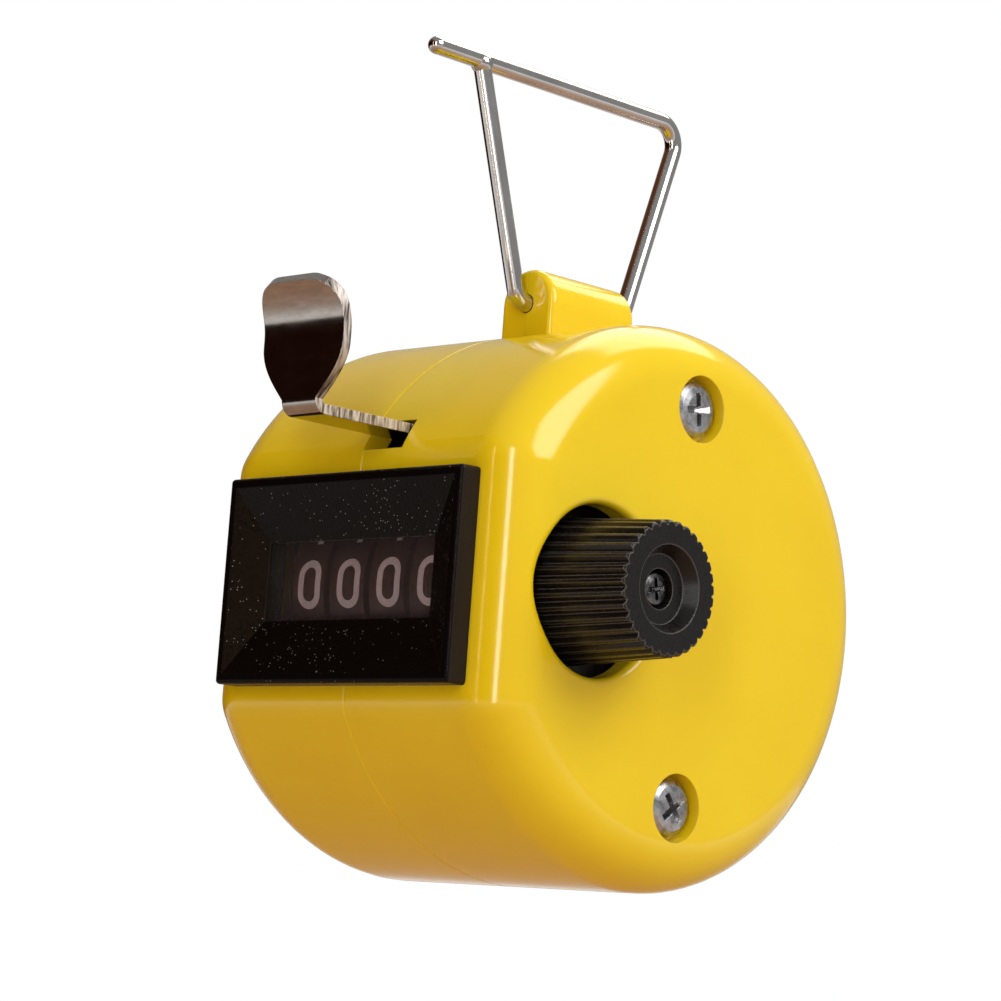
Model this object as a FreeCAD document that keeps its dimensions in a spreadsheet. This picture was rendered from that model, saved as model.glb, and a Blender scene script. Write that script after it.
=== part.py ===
import FreeCAD, Part
import Sketcher
import math
import os
import re

# Hand tally counter: a round two-shell casing with a four-wheel number train inside it.
# Frame: X runs along the drum from the left side face to the reset knob, -Y is the display
# side and +Z points to the finger ring. The origin is the centre of the left side face.

V = FreeCAD.Vector
TURN = 360.0
doc = FreeCAD.newDocument("TallyCounter")

# ---------------------------------------------------------------- driving sizes, millimetres
SIZES = [
    ("drum_radius", 23.0, "outside radius of the round casing"),
    ("drum_width", 35.0, "side face to side face"),
    ("casing_wall", 2.0, "wall of both shells"),
    ("side_round", 4.5, "rounding between the rim and the side faces"),
    ("front_flat", "=drum_radius - 2.34", "drum axis to the flat that carries the display"),
    ("front_blend", 3.8, "rounding between that flat and the rim"),
    ("boss_offset", "=drum_radius - 6.9", "casing screws, above and below the drum axis"),
    ("boss_radius", 3.5, "screw bosses inside the shells"),
    ("screw_head_radius", 2.25, "pan head of a casing screw"),
    ("screw_head_height", 1.45, "height of that head"),
    ("screw_sink", 0.3, "head below the side face"),
    ("screw_radius", 1.25, "shank of a casing screw"),
    ("screw_reach", 22.0, "length of the shank"),
    ("seat_gap", 0.5, "round a sunk screw head"),
    ("thread_gap", 0.02, "radial clearance of a screw in its hole"),
    ("hole_spare", 0.5, "hole beyond a screw's tip"),
    ("seam_break", 0.12, "broken edge of each shell along the seam"),
    ("lug_width", 6.0, "ring lug along X"),
    ("lug_front", 3.3, "lug ahead of the drum axis"),
    ("lug_rear", 7.0, "lug behind the drum axis"),
    ("lug_round", 0.6, "rounded front and rear edges of the lug"),
    ("lug_foot", "=drum_radius - casing_wall + 0.5", "where the lug starts inside the wall"),
    ("eye_height", "=drum_radius + 2.7", "ring hinge line above the drum axis"),
    ("wire_radius", 0.75, "finger ring wire"),
    ("eye_gap", 0.06, "running clearance of the wire in its eye"),
    ("wire_bend", 1.4, "centre-line radius of the bends at the eye"),
    ("ring_corner", 2.0, "centre-line radius of the top rear corner"),
    ("ring_height", 19.3, "eye to the centre of the top bar"),
    ("leg_lean", 18.0, "lean of each leg from upright, degrees"),
    ("leg_start", 1.15, "lug face to the foot of the leg's line"),
    ("wire_grip", 3.6, "length of wire inside the eye at each end"),
    ("bar_overhang", 5.2, "top bar ahead of the front leg"),
    ("bezel_width", 27.1, "display bezel along X"),
    ("bezel_height", 16.9, "display bezel along Z"),
    ("bezel_proud", 1.97, "bezel ahead of the casing flat"),
    ("bezel_lap", 1.1, "bezel flange over the casing, all round"),
    ("bezel_rim", 0.8, "flat rim round the bezel's slopes"),
    ("bezel_slope", 1.45, "depth of the sloping frame"),
    ("bezel_round", 0.35, "rounding of the bezel's outer edges"),
    ("spigot_wall", 1.2, "wall of the spigot behind the flange"),
    ("spigot_reach", 1.0, "spigot beyond the inside of the casing's wall"),
    ("window_width", 19.2, "opening along X"),
    ("window_height", 6.4, "opening along Z"),
    ("window_lap", 0.6, "pane beyond the opening, all round"),
    ("window_depth", 0.8, "thickness of the clear pane"),
    ("window_land", 0.35, "straight wall behind the slopes"),
    ("fit_gap", 0.1, "clearance of pieces that are set into each other"),
    ("axle_back", 10.5, "number axle ahead of the drum axis"),
    ("axle_radius", 1.5, "number axle"),
    ("running_gap", 0.05, "radial clearance of parts that turn"),
    ("wheel_radius", 8.3, "number wheels"),
    ("wheel_pitch", 4.65, "from one number wheel to the next"),
    ("wheel_gap", 0.7, "one printed rim to the next"),
    ("rim_width", "=wheel_pitch - wheel_gap", "printed rim of a number wheel"),
    ("rim_wall", 0.9, "thickness of that rim"),
    ("web_width", 1.4, "web between rim and hub"),
    ("hub_radius", 3.0, "hub of a number wheel"),
    ("gear_width", 0.35, "carry gear on a wheel's right side"),
    ("cam_width", 0.2, "carry cam on a wheel's left side"),
    ("cam_radius", 4.8, "locking ring of the carry cam"),
    ("cam_tooth", 5.6, "tip of the two carry teeth"),
    ("gear_module", 0.65, "pitch diameter per tooth"),
    ("gear_teeth", 20, "teeth of a carry gear"),
    ("pinion_teeth", 8, "teeth of a carry pinion"),
    ("tooth_reach", 0.52, "tip beyond the pitch line"),
    ("tooth_root", 0.75, "root inside the pitch line"),
    ("tooth_foot", 1.05, "thickness of a tooth at its root"),
    ("tooth_tip", 0.42, "thickness of a tooth at its tip"),
    ("pinion_width", 0.6, "carry pinion along X"),
    ("pinion_slant", 60.0, "pinion shaft below the axle's level, degrees"),
    ("shaft_radius", 0.7, "pinion shaft"),
    ("ratchet_radius", 4.2, "tips of the ratchet wheel"),
    ("ratchet_depth", 0.9, "depth of its notches"),
    ("ratchet_teeth", 10, "one notch for each digit"),
    ("ratchet_width", 1.0, "ratchet wheel along X"),
    ("plate_gap", 0.3, "number train to the frame plates"),
    ("plate_wall", 1.0, "frame plates"),
    ("plate_inset", 1.06, "frame plates to the casing's front wall"),
    ("plate_head", 7.6, "front corner of the plates below the drum axis"),
    ("plate_brow", 8.2, "front corner of the plates above the drum axis"),
    ("plate_rear", 6.2, "rear edge of the plates behind the drum axis"),
    ("plate_foot", 12.3, "lower edge of the plates"),
    ("spacer_rear", 4.0, "two rear spacers behind the drum axis"),
    ("spacer_high", 5.0, "upper rear spacer above the drum axis"),
    ("spacer_low", 6.0, "lower rear spacer below the drum axis"),
    ("spacer_front", 13.4, "front spacer ahead of the drum axis"),
    ("spacer_foot", 10.2, "front spacer below the drum axis"),
    ("spacer_radius", 1.5, "frame spacers"),
    ("rivet_radius", 0.9, "riveted ends of the spacers"),
    ("post_radius", 1.5, "casing posts that clamp the frame"),
    ("knob_hole", 6.8, "radius of the hole round the knob"),
    ("hole_round", 0.6, "rounded mouth of that hole"),
    ("knob_base", 5.95, "knob radius at its inner end"),
    ("knob_tip", 5.3, "knob radius at its outer end"),
    ("knob_proud", 7.2, "knob beyond the side face"),
    ("end_play", 0.3, "frame plate to knob, beyond the washer"),
    ("washer_play", 0.02, "washer to knob, and washer on the axle"),
    ("knob_edge", 0.3, "chamfer at the knob's outer end"),
    ("knob_flutes", 33, "grip flutes"),
    ("flute_depth", 0.42, "depth of a flute"),
    ("dish_radius", 3.42, "mouth of the dished end"),
    ("dish_floor", 2.74, "floor of the dished end"),
    ("dish_depth", 1.1, "depth of the dish"),
    ("knob_screw_radius", 1.45, "head of the knob screw"),
    ("knob_screw_sink", 1.35, "knob end to the screw's head"),
    ("knob_screw_height", 1.1, "height of that head"),
    ("knob_screw_shank", 0.8, "its shank"),
    ("knob_screw_reach", 5.0, "length of its shank"),
    ("washer_radius", 3.2, "thrust washer under the knob"),
    ("washer_wall", 0.5, "its thickness"),
    ("clip_radius", 2.9, "retaining clip on the axle"),
    ("clip_wall", 0.5, "its thickness"),
    ("clip_groove", 0.3, "depth of its groove in the axle"),
    ("lever_shift", 2.05, "centre of the lever right of the seam"),
    ("lever_width", 3.9, "lever strip along X"),
    ("lever_sheet", 0.8, "sheet metal of the lever"),
    ("lever_level", 12.2, "middle of the strip above the drum axis"),
    ("lever_reach", "=front_flat + 8.64", "middle of the upright pad, ahead of the drum axis"),
    ("lever_bend", 0.75, "middle radius of the sharp bend"),
    ("pad_width", 9.2, "thumb pad along X"),
    ("pad_flare", 17.3, "level at which the pad reaches its width"),
    ("pad_upright", 18.0, "level at which the pad starts to curl"),
    ("pad_curl", 5.5, "middle radius of the curl"),
    ("pad_sweep", 50.0, "angle of the curl, degrees"),
    ("slot_top", 12.95, "upper edge of the lever slot"),
    ("slot_bottom", 10.5, "lower edge of the lever slot"),
    ("slot_gap", 0.3, "lever strip to the ends of its slot"),
    ("lever_run", 4.0, "strip behind the pivot ears"),
    ("wing_start", 0.5, "pivot ears to the inner wing"),
    ("wing_length", 3.4, "inner wing, front to back"),
    ("arm_gap", 0.5, "inner arm to the ratchet wheel"),
    ("arm_reach", 1.2, "inner arm beyond the pawl pin"),
    ("arm_foot", 1.05, "inner arm below the pawl pin"),
    ("arm_root", 2.0, "depth of the inner arm at its front"),
    ("pivot_back", 14.0, "lever pivot ahead of the drum axis"),
    ("pivot_level", 10.0, "lever pivot above the drum axis"),
    ("pivot_radius", 1.0, "lever pivot pin"),
    ("ear_radius", 1.9, "ears of the lever round the pivot"),
    ("spring_wire", 0.2, "radius of the return spring's wire"),
    ("spring_coil", 1.4, "middle radius of its coil"),
    ("spring_turns", 3, "turns of the coil"),
    ("pawl_back", 1.5, "pawl pin ahead of the drum axis"),
    ("pawl_level", 6.8, "pawl pin above the drum axis"),
    ("pawl_pin_radius", 0.7, "pawl pin"),
    ("pawl_width", 0.8, "drive pawl along X"),
    ("leaf_wall", 0.3, "sheet of the detent spring"),
    ("leaf_gap", 0.45, "detent leaf to the ratchet's tips"),
    ("leaf_lead", 0.5, "leaf ahead of the number axle"),
    ("leaf_tail", 1.5, "leaf behind the drum axis"),
    ("tab_width", 3.6, "screwed tab of the leaf, front to back"),
    ("tab_height", 3.4, "its height"),
    ("tab_screw_drop", 1.9, "leaf to the middle of the tab's screw"),
    ("tab_screw_back", 0.3, "that screw ahead of the drum axis"),
    ("tab_screw_head", 1.5, "radius of its head"),
    ("tab_screw_height", 0.7, "height of its head"),
]


def make_sheet():
    """The spreadsheet of driving sizes, one named row each."""
    table = doc.addObject("Spreadsheet::Sheet", "sizes")
    for row, (name, number, note) in enumerate(SIZES, start=1):
        table.set(f"A{row}", name)
        table.set(f"B{row}", str(number))
        table.set(f"C{row}", note)
        table.setAlias(f"B{row}", name)
    doc.recompute()
    return table


sheet = make_sheet()


# ---------------------------------------------------------------- formulas and bindings
def sheet_words(formula):
    """A formula with the sheet's name before each of its words; function names stay bare."""
    return re.sub(r"\b([a-z]\w*)\b(?!\()", r"sizes.\1", formula)


def value(formula):
    return float(sheet.evalExpression(sheet_words(formula)))


def bind(thing, prop, formula):
    thing.setExpression(prop, sheet_words(formula))


SEAM = "drum_width / 2"
STACK_RIGHT = "drum_width / 2 + wheel_pitch * 1.5 + rim_width / 2 + ratchet_width + plate_gap"
STACK_LEFT = "drum_width / 2 - wheel_pitch * 1.5 - rim_width / 2 - plate_gap"
EYE_RADIUS = "wire_radius + eye_gap"
LEVER_LEFT = "drum_width / 2 + lever_shift - lever_width / 2"
LEVER_RIGHT = "drum_width / 2 + lever_shift + lever_width / 2"
PINION_REACH = "gear_module * (gear_teeth + pinion_teeth) / 2"
PINION_Y = f"{PINION_REACH} * cos(pinion_slant * 1deg) - axle_back"
PINION_Z = f"0 - {PINION_REACH} * sin(pinion_slant * 1deg)"
SPACERS = [
    ("spacer_rear", "spacer_high"),
    ("spacer_rear", "0 - spacer_low"),
    ("0 - spacer_front", "0 - spacer_foot"),
]
KNOB_END = "drum_width + knob_proud"
KNOB_START = f"{STACK_RIGHT} + plate_wall + washer_wall + end_play"
KNOB_LENGTH = f"{KNOB_END} - ({KNOB_START})"
RATCHET_START = f"{STACK_RIGHT} - plate_gap - ratchet_width"


# ---------------------------------------------------------------- sketches
def new_body(label, across="0", forward="0", up="0"):
    body = doc.addObject("PartDesign::Body", label)
    body.Label = label
    for prop, formula in (("x", across), ("y", forward), ("z", up)):
        bind(body, f"Placement.Base.{prop}", formula)
    return body


def new_sketch(body, plane, away="0"):
    """A sketch on one of the body's origin planes, moved along that plane's normal."""
    sketch = body.newObject("Sketcher::SketchObject", "Outline")
    support = [part for part in body.Origin.OriginFeatures if part.Role == plane][0]
    sketch.AttachmentSupport = [(support, "")]
    sketch.MapMode = "FlatFace"
    bind(sketch, "AttachmentOffset.Base.z", away)
    return sketch


def dimension(sketch, kind, formula, *where):
    number = sketch.addConstraint(Sketcher.Constraint(kind, *where, value(formula)))
    bind(sketch, f"Constraints[{number}]", formula)


def pin_point(sketch, line, end, across, up):
    """Fix one point of a sketch line by its distances from the sketch's origin."""
    dimension(sketch, "DistanceX", across, -1, 1, line, end)
    dimension(sketch, "DistanceY", up, -1, 1, line, end)


def circle(sketch, across, up, radius):
    shape = Part.Circle(V(value(across), value(up), 0), V(0, 0, 1), value(radius))
    index = sketch.addGeometry(shape, False)
    dimension(sketch, "Radius", radius, index)
    pin_point(sketch, index, 3, across, up)


def polygon(sketch, corners):
    """Closed outline of straight lines whose corners are pairs of formulas."""
    points = [V(value(across), value(up), 0) for across, up in corners]
    lines = [Part.LineSegment(a, b) for a, b in zip(points, points[1:] + points[:1])]
    indices = [sketch.addGeometry(line, False) for line in lines]
    for here, following in zip(indices, indices[1:] + indices[:1]):
        sketch.addConstraint(Sketcher.Constraint("Coincident", here, 2, following, 1))
    for index, (across, up) in zip(indices, corners):
        pin_point(sketch, index, 1, across, up)


def rectangle(sketch, left, right, bottom, top):
    polygon(sketch, [(left, bottom), (right, bottom), (right, top), (left, top)])


def drum_outline(sketch, inset):
    """The drum's end view: a circle about the origin, cut by the flat on its -Y side."""
    radius = value(f"drum_radius - {inset}")
    flat = value(f"front_flat - {inset}")
    half = math.acos(flat / radius)
    rim = Part.ArcOfCircle(Part.Circle(V(0, 0, 0), V(0, 0, 1), radius), half - math.pi, math.pi - half)
    arc = sketch.addGeometry(rim, False)
    line = sketch.addGeometry(Part.LineSegment(rim.EndPoint, rim.StartPoint), False)
    sketch.addConstraint(Sketcher.Constraint("Coincident", arc, 3, -1, 1))
    sketch.addConstraint(Sketcher.Constraint("Coincident", arc, 2, line, 1))
    sketch.addConstraint(Sketcher.Constraint("Coincident", arc, 1, line, 2))
    sketch.addConstraint(Sketcher.Constraint("Vertical", line))
    dimension(sketch, "Radius", f"drum_radius - {inset}", arc)
    dimension(sketch, "DistanceX", f"{inset} - front_flat", -1, 1, line, 1)


# ---------------------------------------------------------------- features
def pad(body, sketch, length, reverse=False):
    feature = body.newObject("PartDesign::Pad", "Pad")
    feature.Profile = sketch
    feature.Reversed = reverse
    bind(feature, "Length", length)
    doc.recompute()
    return feature


def pocket(body, sketch, length, reverse=False):
    """Cut a sketch into the body; a cut that removes nothing is an error."""
    before = body.Shape.Volume
    feature = body.newObject("PartDesign::Pocket", "Pocket")
    feature.Profile = sketch
    feature.Reversed = reverse
    bind(feature, "Length", length)
    doc.recompute()
    if body.Shape.Volume > before - 1e-3:
        raise ValueError(f"{body.Label}: a pocket cuts nothing")
    return feature


def revolve(body, sketch):
    feature = body.newObject("PartDesign::Revolution", "Revolution")
    feature.Profile = sketch
    feature.ReferenceAxis = (sketch, ["H_Axis"])
    feature.Angle = TURN
    doc.recompute()
    return feature


def repeat_round(body, feature, count):
    """Copies of a feature round the body's own X axis."""
    pattern = body.newObject("PartDesign::PolarPattern", "PolarPattern")
    pattern.Originals = [feature]
    axis = [part for part in body.Origin.OriginFeatures if part.Role == "X_Axis"][0]
    pattern.Axis = (axis, [""])
    pattern.Angle = TURN
    bind(pattern, "Occurrences", count)
    body.Tip = pattern
    doc.recompute()
    return pattern


def dress(body, base, chosen, kind, prop, formula):
    """Round or break the edges of a feature for which chosen(edge) is true."""
    names = [f"Edge{i + 1}" for i, edge in enumerate(base.Shape.Edges) if chosen(edge)]
    feature = body.newObject(f"PartDesign::{kind}", kind)
    feature.Base = (base, names)
    bind(feature, prop, formula)
    doc.recompute()
    return feature


def fillet(body, base, chosen, radius):
    return dress(body, base, chosen, "Fillet", "Radius", radius)


def chamfer(body, base, chosen, size):
    return dress(body, base, chosen, "Chamfer", "Size", size)


def round_pin(label, start, length, radius, forward, up):
    """A plain pin along X."""
    pin = doc.addObject("Part::Cylinder", label)
    pin.Label = label
    bind(pin, "Radius", radius)
    bind(pin, "Height", length)
    pin.Placement = FreeCAD.Placement(V(0, 0, 0), FreeCAD.Rotation(V(0, 1, 0), 90))
    for prop, formula in (("x", start), ("y", forward), ("z", up)):
        bind(pin, f"Placement.Base.{prop}", formula)
    return pin


def fixed_shape(label, shape, place=V(0, 0, 0), turned=FreeCAD.Rotation()):
    feature = doc.addObject("Part::Feature", label)
    feature.Label = label
    feature.Shape = shape
    feature.Placement = FreeCAD.Placement(place, turned)
    return feature


# ---------------------------------------------------------------- casing
def casing_half(label, is_left):
    """One moulded shell: drum half, cavity, screw bosses, frame posts, ring lug and openings."""
    body = new_body(label)
    side = "0" if is_left else "drum_width"
    inwards = not is_left
    outline = new_sketch(body, "YZ_Plane", side)
    drum_outline(outline, "0")
    shell = pad(body, outline, "drum_width / 2", inwards)
    shell = fillet(body, shell, is_flat_corner, "front_blend")
    level = value(side)
    shell = fillet(body, shell, lambda edge: lies_at_x(edge, level), "side_round")
    seam = value(SEAM)
    chamfer(body, shell, lambda edge: lies_at_x(edge, seam), "seam_break")

    cavity = new_sketch(body, "YZ_Plane", SEAM)
    drum_outline(cavity, "casing_wall")
    pocket(body, cavity, "drum_width / 2 - casing_wall", not is_left)

    bosses = new_sketch(body, "YZ_Plane", SEAM)
    for up in ("boss_offset", "0 - boss_offset"):
        circle(bosses, "0", up, "boss_radius")
    pad(body, bosses, "drum_width / 2 - casing_wall / 2", is_left)

    plate = f"{STACK_LEFT} - plate_wall" if is_left else f"{STACK_RIGHT} + plate_wall"
    depth = f"{plate} - casing_wall / 2" if is_left else f"drum_width - casing_wall / 2 - ({plate})"
    posts = new_sketch(body, "YZ_Plane", plate)
    for forward, up in SPACERS:
        circle(posts, forward, up, "post_radius")
    pad(body, posts, depth, is_left)

    lug_half(body, is_left)
    casing_openings(body, is_left)
    return body


def is_flat_corner(edge):
    """Edges along X where the display flat meets the rim."""
    ends = [vertex.Point for vertex in edge.Vertexes]
    flat = value("front_flat")
    return len(ends) == 2 and abs(ends[0].x - ends[1].x) > 1 and all(abs(p.y + flat) < 1e-4 for p in ends)


def lies_at_x(edge, level):
    box = edge.BoundBox
    return abs(box.XMin - level) < 1e-4 and abs(box.XMax - level) < 1e-4


def lug_half(body, is_left):
    """Half of the arched lug, its cap round about the ring's hinge line."""
    sketch = new_sketch(body, "XZ_Plane", "0 - lug_rear")
    seam = value(SEAM)
    eye = value("eye_height")
    half = value("lug_width / 2")
    foot = value("lug_foot")
    side = seam - half if is_left else seam + half
    start, end = (math.pi / 2, math.pi) if is_left else (0, math.pi / 2)
    cap = Part.ArcOfCircle(Part.Circle(V(seam, eye, 0), V(0, 0, 1), half), start, end)
    arc = sketch.addGeometry(cap, False)
    low, high = (2, 1) if is_left else (1, 2)
    corners = [V(side, eye, 0), V(side, foot, 0), V(seam, foot, 0), V(seam, eye + half, 0)]
    lines = [sketch.addGeometry(Part.LineSegment(a, b), False) for a, b in zip(corners, corners[1:])]
    sketch.addConstraint(Sketcher.Constraint("Coincident", arc, low, lines[0], 1))
    sketch.addConstraint(Sketcher.Constraint("Coincident", lines[0], 2, lines[1], 1))
    sketch.addConstraint(Sketcher.Constraint("Coincident", lines[1], 2, lines[2], 1))
    sketch.addConstraint(Sketcher.Constraint("Coincident", lines[2], 2, arc, high))
    sketch.addConstraint(Sketcher.Constraint("Vertical", lines[2]))
    sketch.addConstraint(Sketcher.Constraint("Horizontal", arc, 3, arc, low))
    dimension(sketch, "Radius", "lug_width / 2", arc)
    pin_point(sketch, arc, 3, SEAM, "eye_height")
    pin_point(sketch, lines[1], 2, SEAM, "lug_foot")
    sign = "-" if is_left else "+"
    pin_point(sketch, lines[1], 1, f"{SEAM} {sign} lug_width / 2", "lug_foot")
    lug = pad(body, sketch, "lug_front + lug_rear")
    fillet(body, lug, is_lug_rim, "lug_round")


def is_lug_rim(edge):
    """The arch and the sides of the lug's front and rear faces, apart from the seam."""
    box = edge.BoundBox
    ends = (-value("lug_front"), value("lug_rear"))
    level = any(abs(box.YMin - end) < 1e-4 and abs(box.YMax - end) < 1e-4 for end in ends)
    on_seam = lies_at_x(edge, value(SEAM))
    return level and not on_seam and box.ZMax - box.ZMin > value("lug_width / 4")


def casing_openings(body, is_left):
    """Ring eye, display opening, lever slot, screw holes and, on the right, the knob hole."""
    eye = new_sketch(body, "XZ_Plane", "0 - lug_rear")
    circle(eye, SEAM, "eye_height", EYE_RADIUS)
    pocket(body, eye, "lug_front + lug_rear", True)

    display = new_sketch(body, "XZ_Plane", "drum_radius")
    rectangle(
        display,
        f"{SEAM} - bezel_width / 2 + bezel_lap",
        f"{SEAM} + bezel_width / 2 - bezel_lap",
        "bezel_lap - bezel_height / 2",
        "bezel_height / 2 - bezel_lap",
    )
    pocket(body, display, "drum_radius - front_flat + casing_wall + 1")

    slot = new_sketch(body, "XZ_Plane", "drum_radius")
    rectangle(slot, f"{LEVER_LEFT} - slot_gap", f"{LEVER_RIGHT} + slot_gap", "slot_bottom", "slot_top")
    if value(f"{LEVER_LEFT} - slot_gap") < value(SEAM) or not is_left:
        pocket(body, slot, "pivot_back / 2")

    holes = new_sketch(body, "YZ_Plane", "drum_width")
    for up in ("boss_offset", "0 - boss_offset"):
        circle(holes, "0", up, "screw_radius + thread_gap")
    pocket(body, holes, "screw_sink + screw_head_height + screw_reach + hole_spare")
    if not is_left:
        seats = new_sketch(body, "YZ_Plane", "drum_width")
        for up in ("boss_offset", "0 - boss_offset"):
            circle(seats, "0", up, "screw_head_radius + seat_gap")
        pocket(body, seats, "screw_sink + screw_head_height")
        knob = new_sketch(body, "YZ_Plane", "drum_width")
        circle(knob, "0 - axle_back", "0", "knob_hole")
        mouth = pocket(body, knob, "casing_wall")
        fillet(body, mouth, is_hole_mouth, "hole_round")


def is_hole_mouth(edge):
    """Edges of the knob hole on the outside of the shell."""
    axis = -value("axle_back")
    outside = edge.BoundBox.XMin > value("drum_width - casing_wall / 2")
    reaches = [math.hypot(vertex.Point.y - axis, vertex.Point.z) for vertex in edge.Vertexes]
    return outside and all(abs(reach - value("knob_hole")) < 1e-3 for reach in reaches)


# ---------------------------------------------------------------- display
def display_bezel():
    """Flange with a raised rim and four mitred slopes, and a spigot that enters the casing."""
    body = new_body("display_bezel", SEAM)
    flange = new_sketch(body, "XZ_Plane", "front_flat")
    rectangle(flange, "0 - bezel_width / 2", "bezel_width / 2", "0 - bezel_height / 2", "bezel_height / 2")
    plate = pad(body, flange, "bezel_proud")
    fillet(body, plate, lambda edge: abs(edge.CenterOfMass.y - value("0 - front_flat")) > 0.1, "bezel_round")

    spigot = new_sketch(body, "XZ_Plane", "front_flat")
    lap = "bezel_lap + fit_gap"
    rectangle(
        spigot,
        f"0 - bezel_width / 2 + {lap}",
        f"bezel_width / 2 - ({lap})",
        f"{lap} - bezel_height / 2",
        f"bezel_height / 2 - ({lap})",
    )
    pad(body, spigot, "casing_wall + spigot_reach", True)
    hollow = new_sketch(body, "XZ_Plane", "front_flat - casing_wall - spigot_reach")
    wall = f"{lap} + spigot_wall"
    rectangle(
        hollow,
        f"0 - bezel_width / 2 + {wall}",
        f"bezel_width / 2 - ({wall})",
        f"{wall} - bezel_height / 2",
        f"bezel_height / 2 - ({wall})",
    )
    pane_back = "bezel_proud - bezel_slope - window_land - window_depth"
    pocket(body, hollow, f"casing_wall + spigot_reach + {pane_back}", True)
    frame_slopes(body)
    opening = new_sketch(body, "XZ_Plane", "front_flat + bezel_proud")
    window_box = ("0 - window_width / 2", "window_width / 2", "0 - window_height / 2", "window_height / 2")
    rectangle(opening, *window_box)
    pocket(body, opening, "bezel_proud + casing_wall")
    rebate = new_sketch(body, "XZ_Plane", "front_flat - casing_wall")
    rectangle(
        rebate,
        "0 - window_width / 2 - window_lap - fit_gap / 2",
        "window_width / 2 + window_lap + fit_gap / 2",
        "0 - window_height / 2 - window_lap - fit_gap / 2",
        "window_height / 2 + window_lap + fit_gap / 2",
    )
    pocket(body, rebate, "casing_wall + bezel_proud - bezel_slope - window_land", True)
    return body


def frame_slopes(body):
    """Loft cut from inside the rim down to the window opening."""
    mouth = new_sketch(body, "XZ_Plane", "front_flat + bezel_proud")
    rectangle(
        mouth,
        "bezel_rim - bezel_width / 2",
        "bezel_width / 2 - bezel_rim",
        "bezel_rim - bezel_height / 2",
        "bezel_height / 2 - bezel_rim",
    )
    floor = new_sketch(body, "XZ_Plane", "front_flat + bezel_proud - bezel_slope")
    rectangle(floor, "0 - window_width / 2", "window_width / 2", "0 - window_height / 2", "window_height / 2")
    before = body.Shape.Volume
    slopes = body.newObject("PartDesign::SubtractiveLoft", "Slopes")
    slopes.Profile = mouth
    slopes.Sections = [floor]
    slopes.Ruled = True
    doc.recompute()
    if body.Shape.Volume > before - 1:
        raise ValueError("display_bezel: the slopes cut nothing")


def display_window():
    pane = doc.addObject("Part::Box", "display_window")
    pane.Label = "display_window"
    bind(pane, "Length", "window_width + window_lap * 2")
    bind(pane, "Width", "window_depth")
    bind(pane, "Height", "window_height + window_lap * 2")
    bind(pane, "Placement.Base.x", f"{SEAM} - window_width / 2 - window_lap")
    bind(pane, "Placement.Base.y", "bezel_slope + window_land - front_flat - bezel_proud")
    bind(pane, "Placement.Base.z", "0 - window_height / 2 - window_lap")
    return pane


# ---------------------------------------------------------------- screws
def pan_screw(head, height, shank, reach, turned):
    """Cross-recess screw along -X with its head's top at X 0: dome, shank and a tapered recess."""
    crown = height * 0.3
    profile = Part.makePolygon([
        V(0, 0, 0), V(0, head * 0.55, 0), V(-crown * 0.3, head * 0.82, 0), V(-crown, head, 0),
        V(-height, head, 0), V(-height, shank, 0), V(-height - reach, shank, 0),
        V(-height - reach, 0, 0), V(0, 0, 0),
    ])
    screw = Part.Face(profile).revolve(V(0, 0, 0), V(1, 0, 0), TURN)
    arm = head * 0.62
    thick = head * 0.26
    for angle in (turned, turned + 90):
        wide = Part.makePolygon([
            V(0.01, -arm, -thick / 2), V(0.01, arm, -thick / 2), V(0.01, arm, thick / 2),
            V(0.01, -arm, thick / 2), V(0.01, -arm, -thick / 2),
        ])
        deep = wide.copy()
        deep.scale(0.45)
        deep.translate(V(-height * 0.75, 0, 0))
        wing = Part.makeLoft([wide, deep], True, True)
        wing.rotate(V(0, 0, 0), V(1, 0, 0), angle)
        screw = screw.cut(wing)
    return screw


def casing_screws():
    head = value("screw_head_radius")
    solids = []
    for up, turned in ((1, 8.0), (-1, 38.0)):
        height, shank, reach = (value(name) for name in ("screw_head_height", "screw_radius", "screw_reach"))
        screw = pan_screw(head, height, shank, reach, turned)
        screw.translate(V(value("drum_width - screw_sink"), 0, up * value("boss_offset")))
        solids.append(screw)
    return fixed_shape("casing_screws", Part.Compound(solids))


# ---------------------------------------------------------------- finger ring
def rounded_wire(points, radii):
    """A wire through the points, with a tangent arc of the given radius at each inner corner."""
    edges = []
    last = points[0]
    for before, corner, after, radius in zip(points, points[1:], points[2:], radii):
        arriving = (corner - before).normalize()
        leaving = (after - corner).normalize()
        turn = arriving.getAngle(leaving)
        setback = radius * math.tan(turn / 2)
        start = corner - arriving * setback
        end = corner + leaving * setback
        inward = (leaving - arriving).normalize()
        middle = corner + inward * (radius / math.cos(turn / 2) - radius)
        edges.append(Part.LineSegment(last, start).toShape())
        edges.append(Part.Arc(start, middle, end).toShape())
        last = end
    edges.append(Part.LineSegment(last, points[-1]).toShape())
    return Part.Wire(edges)


def swept_wire(points, radii, radius):
    path = rounded_wire(points, radii)
    section = Part.Wire([Part.makeCircle(radius, points[0], points[1] - points[0])])
    return path.makePipeShell([section], True, False)


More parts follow.
